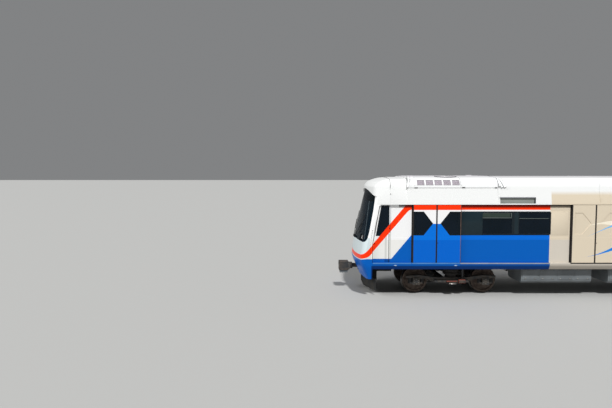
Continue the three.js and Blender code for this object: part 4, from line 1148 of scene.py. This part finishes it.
# Cab glazing.
# The wraparound windscreen is one sheet of laminated glass, bent in two directions and bonded into the mask,
# with a black printed edge. A wiper hangs on each half and a pale bead of sealant joins the middle sheet to
# its corners.
WIPER = {"y": 0.16, "foot": 1.835, "reach": 0.62, "top": 2.34}
PIVOT_ROWS = [(0.032, 0.05), (0.032, -0.020), (0.024, -0.030), (0.010, -0.032)]
# Where the sealant's bead runs. Columns: distance from the middle, height.
BEAD_LINE = [
    (0.992, 3.114), (1.050, 2.950), (1.110, 2.790), (1.165, 2.640), (1.212, 2.537), (1.270, 2.370),
    (1.335, 2.160), (1.392, 1.968), (1.405, 1.900),
]
# Laminated glass with a dark tint: it mirrors the sky and lets a little of the inside through.
tinted_glass = finish("tinted_laminated_glass", "#03101a", "#07141f", 0.6, 0.05, specular=0.16, Alpha=0.94)
# The windscreen's glass, greyer below its shade band, and clear in front of the lamps.
screen_glass = material("bent_windscreen_glass", {"Roughness": 0.25, "Specular IOR Level": 0.012})
z = car_place()[1]
out = calc("ABSOLUTE", add("SeparateXYZ", {"Vector": here()}).outputs["Y"])
beside_lamps = calc("ABSOLUTE", calc("SUBTRACT", out, 1.06))
lamp_zone = both(over(0.185, beside_lamps), within(z, 1.825, 2.015))
lead(blend(over(z, 3.12), "#101d26", "#0a1217"), "Base Color")
lead(ramp(lamp_zone, 0, 1, 0.93, 0.12), "Alpha")
# Polyurethane sealant: grey, half matt.
sealant = finish("grey_polyurethane_sealant", "#66747b", "#74838a", 0.05, 0.6)
dressed("windscreen", "bent_windscreen", screen_glass, None, 0)
parts = []
for side in (-1, 1):
    root = side * WIPER["y"]
    tip = side * (WIPER["y"] + WIPER["reach"])
    end = screen_place(tip, WIPER["top"], 0.040)
    blade = [screen_place(tip + side * lean, WIPER["top"] + 3.2 * lean,
                          0.016) for lean in (-0.10, -0.05, 0, 0.05, 0.10)]
    parts += [
        tube("screen_bead", [screen_place(side * y, z, 0.001) for y, z in BEAD_LINE], 0.003, sealant),
        tube("wiper_arm", [screen_place(root, WIPER["foot"], 0.045), end], 0.008, brush),
        tube("wiper_blade", blade, 0.009, rubber),
        turned("wiper_pivot", PIVOT_ROWS, screen_place(root, WIPER["foot"], 0.03), brush, axis="x", sides=24),
        block("blade_holder", [a - 0.012 for a in end], [a + 0.012 for a in end], brush, 0.004),
    ]
fit(join("wipers_and_screen_beads", parts))
for side_name in SIDES:
    dressed(f"cab_window_{side_name}", f"cab_side_pane_{side_name}", tinted_glass,
            None, 0.002)


# Cab inside.
# Behind the screen stand the lamps, a moulded desk with blank displays and two levers, and the driver's seat.
# The lined partition has a hinged door with a window, a lever handle and a kick plate.
DESK = {"s": 0.520, "z": 2.010, "fall": 0.110 / 0.340}
LAMP_Z = 1.920
SEAT = {"x": NOSE_X + 1.270, "foot": 1.148, "pan": 1.545}
PARTITION_X = NOSE_X + 1.620
RIM_ROWS = [(0.076, 0.012), (0.076, -0.006), (0.070, -0.009), (0.064, -0.002)]
LENS_ROWS = [(0.066, 0.004), (0.064, -0.004), (0.050, -0.010), (0.028, -0.0135), (0.008, -0.014)]
BULB_ROWS = [(0.020, -0.012), (0.020, -0.016), (0.012, -0.018)]
LEVER_GRIP_ROWS = [(0.008, -0.01), (0.008, 0.085), (0.020, 0.095), (0.022, 0.125), (0.016, 0.140)]
COLUMN_ROWS = [
    (0.188, SEAT["foot"] + 0.001), (0.188, 1.165), (0.120, 1.180), (0.062, 1.190),
    (0.062, 1.300), (0.050, 1.302), (0.050, 1.520), (0.120, 1.535), (0.120, 1.549),
]
# Polyurethane skin over foam, the desk's soft top: dark grey with a leather grain.
desk_skin = finish("grained_polyurethane_skin", "#41474b", "#4b5155", 0.1, 0.6, relief=(0.003, 0.0003))
# Black display glass, switched off.
display_glass = finish("switched_off_display_glass", "#07090b", "#0b0e11", 0.2, 0.08, specular=0.4)
# Clear moulded polycarbonate lens over a bright reflector.
lens = finish("polycarbonate_lamp_lens", "#c9ced2", "#e0e4e6", 0.01, 0.1, Coat_Weight=0.5)
# Dyed polycarbonate over the tail lamps: a deep red, unlit.
red_lens = finish("dyed_polycarbonate_lamp_lens", "#7a0d0a", "#8f1410", 0.01, 0.1, Coat_Weight=0.5)
# Knitted wool upholstery in blue, with a fine stitch.
upholstery = finish("knitted_wool_upholstery", "#1d3f73", "#27508c", 0.003, 0.95, specular=0.2,
                    relief=(0.0025, 0.0004), Sheen_Weight=0.3)


def on_desk(name, s, y, low, high, coat, edge=0.003):
    """A block that lies on the desk's sloping top."""
    z = DESK["z"] - DESK["fall"] * (s - DESK["s"])
    return placed(block(name, low, high, coat, edge), (NOSE_X + s, y, z),
                  Matrix.Rotation(math.atan(DESK["fall"]), 4, "Y"))


def cushion(name, low, high, up, crown):
    """A stuffed form: crowned on one side, its rim pulled in between the corners."""
    made = block(name, low, high, upholstery, 0.022, 3)
    with editing(made):
        bpy.ops.mesh.subdivide(number_cuts=5)
    change(made, "SUBSURF", levels=1, render_levels=1)
    middle = [(a + b) / 2 for a, b in zip(low, high)]
    half = [(b - a) / 2 for a, b in zip(low, high)]
    flat = [axis for axis in range(3) if axis != up[0]]
    for vertex in made.data.vertices:
        share = [max(-1.0, min(1.0, (vertex.co[i] - middle[i]) / half[i])) for i in range(3)]
        bulge = math.cos(share[flat[0]] * math.pi / 2) * math.cos(share[flat[1]] * math.pi / 2)
        if share[up[0]] * up[1] > 0:
            vertex.co[up[0]] += up[1] * crown * (bulge - 0.5)
        for axis, other in (flat, flat[::-1]):
            vertex.co[axis] -= 0.010 * share[axis] ** 3 * math.cos(share[other] * math.pi / 2)
    return made


dressed("headlamp_bar", "lamp_housings", desk_skin, None, 0.005)
# A head lamp and a tail lamp stand side by side on the mask's lip, square to the glass.
lamps = []
for y, filling in ((-0.975, lens), (-1.145, red_lens)):
    lamp = join("lamp", [
        turned("lamp_rim", RIM_ROWS, (0, 0, 0), bright_steel, axis="x", sides=40),
        turned("lamp_lens", LENS_ROWS, (0, 0, 0), filling, axis="x", sides=40),
        turned("lamp_bulb", BULB_ROWS, (0, 0, 0), zinc, axis="x", sides=24),
    ])
    spot = screen_place(y, LAMP_Z, -0.046)
    across = math.atan2(screen_place(y - 0.01, LAMP_Z, -0.046)[0] - spot[0], 0.01)
    back = math.atan2(screen_place(y, LAMP_Z + 0.01, -0.046)[0] - spot[0], 0.01)
    lamps.append(placed(lamp, spot, Matrix.Rotation(across, 4, "Z") @ Matrix.Rotation(back, 4, "Y")))
fit(join("lamps_behind_glass", both_sides(*lamps)))

dressed("driver_desk", "moulded_desk", desk_skin, None, 0.012)
parts = []
for y, half in ((-0.62, 0.17), (-0.22, 0.15), (0.22, 0.15)):
    parts += [
        on_desk("display_bezel", 0.63, y, (-0.105, -half - 0.015, -0.003),
                (0.105, half + 0.015, 0.014), brush),
        on_desk("display", 0.63, y, (-0.090, -half, 0.010), (0.090, half, 0.0155), display_glass, 0.001),
    ]
parts.append(on_desk("switch_panel", 0.80, -0.62, (-0.050, -0.22, -0.002), (0.050, 0.22, 0.006), zinc))
for i in range(6):
    parts.append(on_desk("switch", 0.80, -0.79 + 0.068 * i, (-0.012, -0.010, 0.004),
                         (0.012, 0.010, 0.018), brush,
                         0.002))
for y in (-0.36, 0.36):
    parts += [
        on_desk("lever_plate", 0.79, y, (-0.060, -0.030, -0.002), (0.060, 0.030, 0.006), brush),
        turned("lever", LEVER_GRIP_ROWS, (NOSE_X + 0.79, y, DESK["z"] - DESK["fall"] * 0.27), brush, axis="z",
               sides=20),
    ]
fit(join("desk_instruments", parts))

x = SEAT["x"]
seat = [
    join("seat_column_and_pan", [
        turned("seat_column", COLUMN_ROWS, (x, 0, 0), desk_skin, axis="z", sides=40),
        block("seat_pan", (x - 0.21, -0.21, SEAT["pan"]), (x + 0.20, 0.21, 1.566), desk_skin, 0.008),
        block("back_stay", (x + 0.195, -0.12, 1.545), (x + 0.222, 0.12, 2.05), desk_skin, 0.006),
    ]),
    cushion("seat_cushion", (x - 0.235, -0.235, 1.562), (x + 0.125, 0.235, 1.650), (2, 1), 0.016),
    cushion("back_cushion", (x + 0.128, -0.225, 1.605), (x + 0.200, 0.225, 2.245), (0, -1), 0.012),
]
for piece in seat:
    fit(piece)
    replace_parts(piece, "driver_seat")

dressed("cab_partition", "lined_partition", lining, None, 0.004)
x = PARTITION_X
parts = []
for side in (-1, 1):
    parts += [
        block("doorway_trim", (x - 0.026, side * 0.3105, 1.150), (x + 0.026, side * 0.340, 3.05), aluminium),
        block("locker_lid", (x - 0.030, side * 0.46, 1.35),
              (x - 0.019, side * 1.20, 2.75), boxes_paint, 0.004),
        turned("locker_latch", [(0.018, 0), (0.018, -0.008), (0.012, -0.012)],
               (x - 0.030, side * 0.52, 2.05), zinc,
               axis="x", sides=20),
    ]
fit(join("partition_fittings", parts))
dressed("cab_door", "lined_cab_door", [lining, tinted_glass],
        lambda at, normal: int(abs(at.x - PARTITION_X) < 0.008 and abs(normal.x) > 0.9),
        0.002, "cab_door")
parts = []
for out in (-1, 1):
    parts += [
        block("handle_plate", (x + out * 0.0175, -0.270, 1.93), (x + out * 0.023, -0.232, 2.09), zinc, 0.002),
        turned("handle_spindle", [(0.009, out * 0.018), (0.009, out * 0.052)],
               (x, -0.251, 2.03), zinc, axis="x",
               sides=16),
        block("handle_grip", (x + out * 0.045, -0.262, 2.020),
              (x + out * 0.058, -0.140, 2.040), zinc, 0.005, 3),
        block("kick_plate", (x + out * 0.0175, -0.290, 1.170),
              (x + out * 0.0195, 0.285, 1.370), aluminium, 0.0008, 1),
    ]
fit(join("cab_door_fittings", parts), "cab_door")


# Saloon windows.
# Double-glazed units bonded into the wall: a black aluminium frame, a wide middle pillar and a hopper pane
# above.
# From the second doorway back the film covers glass and frame.
WINDOW_BAY = (3.9725, 4.970)
TRANSOM = (2.566, 2.590)
# Glass under the printed film, a little darker than the film on metal.
film_glass = material("film_covered_window_glass", {"Roughness": 0.2, "Specular IOR Level": 0.16})
lead(blend(0.13, film_print(*car_place()), "#000000"), "Base Color")
# Grey-green lacquer on the hopper's own frame.
hopper = finish("lacquered_hopper_frame", "#59625f", "#646d69", 0.1, 0.45)
# Black anodised aluminium of the window frame.
black_frame = finish("black_anodised_window_frame", "#141d22", "#182228", 0.3, 0.45, specular=0.2)
# Grey-green heat-absorbing glass.
green_glass = finish("green_heat_absorbing_glass", "#2c3833", "#344039", 0.3, 0.1, specular=0.2)
# Glass enamelled black on its back.
enamel = finish("enamelled_glass_panel", "#18272d", "#1d2c33", 0.4, 0.15, specular=0.22)


def window_finish(at, normal):
    """Frame and panes outside, the inner pane, and the frame inside: numbers 0 to 3."""
    behind = WALL_FACE - abs(at.y)
    if normal.y * side > -0.5 and behind < 0.020:
        return int(behind >= 0.012 and abs(normal.y) >= 0.9)
    return 2 if 0.010 < behind < 0.030 else 3


for side_name, side in SIDES.items():
    for number in range(1, 5):
        outside = [black_frame, tinted_glass] if number == 1 else [car_paint, film_glass]
        dressed(f"window_{number}_{side_name}", f"glazed_unit_{number}_{side_name}",
                outside + [tinted_glass, black_frame], window_finish, 0.002)
low, high = NOSE_X + WINDOW_BAY[0], NOSE_X + WINDOW_BAY[1]
fit_pair("hopper_frames", [
    block("hopper_rail", (low, -1.478, TRANSOM[1]), (high, -1.4695, TRANSOM[1] + 0.020), hopper),
    block("hopper_rail", (low, -1.478, 2.744), (high, -1.4695, 2.763), hopper),
    block("hopper_stile", (low, -1.478, 2.600), (low + 0.020, -1.4695, 2.750), hopper),
    block("hopper_stile", (high - 0.020, -1.478, 2.600), (high, -1.4695, 2.750), hopper),
    block("transom_cap", (NOSE_X + 5.210, -1.489, TRANSOM[0] + 0.005),
          (NOSE_X + 6.150, -1.484, TRANSOM[1] - 0.005),
          hopper),
    block("hopper_pane", (low + 0.05, -1.4745, 2.622), (high - 0.05, -1.4690, 2.735), green_glass, 0.001, 1),
    block("pillar_cap", (NOSE_X + 5.058, -1.4890, 2.075), (NOSE_X + 5.180, -1.4860, 2.770), enamel, 0.001, 1),
])

# Enamelled glass panels are bonded to the wall between a doorway and a window unit, so that the band runs
# through.
# Columns: start and end behind the nose.
BAND_PANELS = [
    (3.345, 4.030), (6.232, 6.790), (8.450, 9.048), (11.332, 11.890), (13.550, 14.148), (16.432, 16.990),
    (18.650, 19.328), (20.352, 20.86),
]
fit_pair("band_panels", [
    block("band_panel", (NOSE_X + start, -1.489, PRINT[0]), (NOSE_X + end, -1.483, PRINT[1]),
          car_paint if number else enamel)
    for number, (start, end) in enumerate(BAND_PANELS)])


# Side doors.
# Outside-hung sliding leaves: a honeycomb core between aluminium skins, flush with sill and cornice.
# Each has a bonded five-sided pane inside a black print, and a rubber nose where the two leaves meet.
LEAF_FACE = 1.556
LEAF_BACK = 1.500
LEAF_FOOT = 1.156
LEAF_TOP = 3.020
LEAF_WIDTH = 0.772
NOSING = 0.020
# The print's edge stands 0.42 m off the doorway's middle at top and bottom, and runs to a point 0.12 m off
# it.
DOOR_PRINT = {"wide": 0.42, "point": 0.12, "middle": 2.423, "half": 0.384}


def door_paint():
    """White over blue with an inverted triangle between the black window prints, under the orange band."""
    s, z = car_place()
    phase = calc("FLOORED_MODULO", calc("ADD", s, DOOR_PITCH / 2 - DOOR_FIRST), DOOR_PITCH)
    off = calc("ABSOLUTE", calc("SUBTRACT", phase, DOOR_PITCH / 2))
    # Painted shade: the blue is darker below the shade line, lighter above it as a painted sky reflection.
    blue = blend(over(z, SHADE_SPLIT_Z), "#0060c5", "#006dd5")
    painted = blend(over(2.415, z), WHITE, blue)
    painted = blend(over(z, BAND[0]), painted, ORANGE)
    painted = blend(over(s, FILM_START), painted, film_print(s, z))
    tall = calc("ABSOLUTE", calc("SUBTRACT", z, DOOR_PRINT["middle"]))
    edge = slope(tall, (DOOR_PRINT["wide"] - DOOR_PRINT["point"]) / DOOR_PRINT["half"], DOOR_PRINT["point"])
    printed = both(over(off, edge), over(DOOR_PRINT["half"], tall), over(FILM_START, s))
    painted = blend(printed, painted, BLACK_PRINT)
    # Painted highlight: lightened along the crease.
    return blend(within(z, *CREASE_HIGHLIGHT), painted, (1.10, 1.10, 1.10, 1), "MULTIPLY")


# The car's polyurethane paint, as the leaves wear it.
leaf_paint = material("polyurethane_door_paint", {"Roughness": 0.3, "Specular IOR Level": 0.12})
lead(door_paint(), "Base Color")
roughened(0.02, 0.00005)
# Aluminium edge strip, brown.
brown_edge_aluminium = finish("brown_aluminium_edge_strip", "#75574a", "#8a6b5c", 0.1, 0.6)


def leaf_finish(at, normal):
    """Paint outside, panes on both sides, lining inside and rubber on the outer edge: numbers 0 to 4."""
    if abs(normal.y) > 0.9 and 0.004 < abs(at.y) - LEAF_BACK < 0.05:
        return 1 if normal.y * side > 0 else 4
    if normal.y * side < -0.9:
        return 2
    return 3 if normal.x * end > 0.9 and (at.x - centre) * end > 0.75 else 0


def in_leaf(x, low_y, low_z, end_x, high_y, high_z):
    """Two corners on the leaf: distance from its inner edge, from the car's middle, and height."""
    return (inner + end * x, side * low_y, low_z), (inner + end * end_x, side * high_y, high_z)


for number, centre in enumerate(DOOR_CENTRES, start=1):
    for side_name, side in SIDES.items():
        for end_name, end in (("front", -1), ("rear", 1)):
            mark = f"{number}_{side_name}_{end_name}"
            pane = tinted_glass if number == 1 else leaf_paint
            dressed(f"door_{mark}", f"painted_leaf_{mark}", [leaf_paint, pane, lining, rubber, tinted_glass],
                    leaf_finish, 0.002, f"door_{mark}")
            inner = centre + end * 0.003
            wide, strip = (0.036, rubber) if end < 0 else (0.010, brown_edge_aluminium)
            parts = [
                block("leaf_nosing", *in_leaf(0, LEAF_BACK + 0.004, LEAF_FOOT, NOSING,
                                              LEAF_FACE + 0.004, LEAF_TOP),
                      rubber),
                block("leaf_edge_seal", *in_leaf(LEAF_WIDTH - 0.012, LEAF_BACK - 0.001, LEAF_FOOT + 0.01,
                                                 LEAF_WIDTH, LEAF_BACK + 0.012, LEAF_TOP - 0.01), rubber,
                                                 0.002),
                block("inner_finger_pull",
                      *in_leaf(0.060, LEAF_BACK - 0.0015, 2.00, 0.085, LEAF_BACK + 0.002, 2.16),
                      zinc, 0.001, 1),
                block("leaf_edge_profile", *in_leaf(LEAF_WIDTH - wide, LEAF_FACE - 0.002, LEAF_FOOT + 0.001,
                                                    LEAF_WIDTH, LEAF_FACE + 0.0015, LEAF_TOP - 0.001), strip,
                                                    0.001, 1),
            ]
            if end > 0:
                lock_rows = [(0.013, side * -0.002), (0.013, side * 0.003), (0.009, side * 0.005)]
                parts.append(turned("leaf_lock", lock_rows, (centre + 0.040, side * LEAF_FACE, 1.792), brush,
                                    sides=20))
            fit(join(f"leaf_rubbers_{mark}", parts), f"door_{mark}")


# Saloon.
# Six moulded seats share a steel carrier along the wall between two doorways. Stainless poles run from floor
# to ceiling, a rail with hanging handles ties them together, and two light strips run along the ceiling.
BENCH_WALL = 1.4187
BENCH_MIDDLES = [-5.31, -0.21, 4.89]
SEAT_PITCH = 0.52
# The short bench behind the last doorway: its middle and the pitch of its three seats.
LAST_BENCH = (9.33, 0.545)
RAIL_Y = 0.960
# Moulded glass-fibre reinforced polyester: glossy blue.
bench = finish("moulded_fibreglass_seat", "#1f5fa8", "#2468b4", 0.2, 0.35, Coat_Weight=0.2)
# Stainless tube with a brushed finish.
stainless = finish("brushed_stainless_tube", "#b8babb", "#c9cbcc", 0.02, 0.25, metal=1)
# Opal polycarbonate diffuser over a dimmed light strip.
diffuser = material("opal_light_diffuser", {"Roughness": 0.4, "Base Color": srgb("#f1f2f2"),
                                            "Emission Color": srgb("#fff6e8"), "Emission Strength": 0.4})
half = SEAT_PITCH / 2 - 0.012
seat_back = block("seat_shell_back", (-half, -0.008, 0.010), (half, 0.010, 0.385), bench, 0.007, 3)
shell = join("seat_shell", [
    block("seat_shell", (-half, -BENCH_WALL + 0.105, 1.588),
          (half, -BENCH_WALL + 0.412, 1.606), bench, 0.008, 3),
    placed(seat_back, (0, -BENCH_WALL + 0.104, 1.590), Matrix.Rotation(math.atan(35 / 390), 4, "X")),
])
handle = join("hanging_handle", [
    wire_ring("handle_ring", (0, -RAIL_Y, 2.760), 0.060, 0.009, lining, 32, 10, math.pi / 2),
    block("handle_strap", (-0.014, -RAIL_Y - 0.003, 2.815),
          (0.014, -RAIL_Y + 0.003, 2.945), desk_skin, 0.002),
    block("handle_clip", (-0.018, -RAIL_Y - 0.022, 2.938), (0.018, -RAIL_Y + 0.022, 2.982), desk_skin, 0.006),
])
# Columns: where a shell stands, where a handle hangs.
seat_places = [(middle + (i - 2.5) * SEAT_PITCH, middle + (i - 2.5) * SEAT_PITCH + 0.03)
               for middle in BENCH_MIDDLES for i in range(6)]
seat_places += [(LAST_BENCH[0] + i * LAST_BENCH[1],) * 2 for i in (-1, 0, 1)]
seats = []
for shell_x, handle_x in seat_places:
    seats.append(copied(shell, "seat_shell", move=(shell_x, 0, 0)))
    seats.append(copied(handle, "hanging_handle", move=(handle_x, 0, 0)))
for spare in (shell, handle):
    bpy.data.objects.remove(spare)
start, end = NOSE_X + 1.75, NOSE_X + 20.80
seats += [
    block("light_strip", (start, -0.815, 3.322), (end, -0.685, 3.352), diffuser, 0.008, 3),
    block("ceiling_grille", (start, -0.320, 3.345), (end, -0.060, 3.3615), aluminium, 0.004),
]
fit_pair("seats_and_handles", seats)
for side_name in SIDES:
    dressed(f"seats_and_rails_{side_name}", f"bench_carriers_and_poles_{side_name}", [boxes_paint, stainless],
            lambda at, normal: int(abs(at.y) < 1.045 or at.z > 2.1 or at.z < 1.3), 0)


# Studio: a pale floor, a pale soft sky, one high lamp from the front left and a broad soft one before the
# nose.
# Columns: name, strength, angle, tilt and turn in degrees.
LAMPS = [("high_lamp", 3.1, 4, 37.6, 12), ("nose_lamp", 1.75, 30, 58, -78)]
floor = primitive("studio_floor", bpy.ops.mesh.primitive_plane_add, size=400, location=(0, 0, 0))
# Floor paint: matt and pale.
floor.data.materials.append(material("matt_floor_paint", {"Roughness": 0.9, "Base Color": srgb("#acacaa")}))
world = bpy.data.worlds.new("studio_sky")
bpy.context.scene.world = world
world.use_nodes = True
world.node_tree.nodes["Background"].inputs["Color"].default_value = srgb("#f2f4f6")
world.node_tree.nodes["Background"].inputs["Strength"].default_value = 0.25
for name, strength, angle, lean, turn in LAMPS:
    lamp = bpy.data.lights.new(name, "SUN")
    lamp.energy = strength
    lamp.angle = math.radians(angle)
    sun = bpy.data.objects.new(name, lamp)
    sun.rotation_euler = (math.radians(lean), 0, math.radians(turn))
    bpy.context.scene.collection.objects.link(sun)
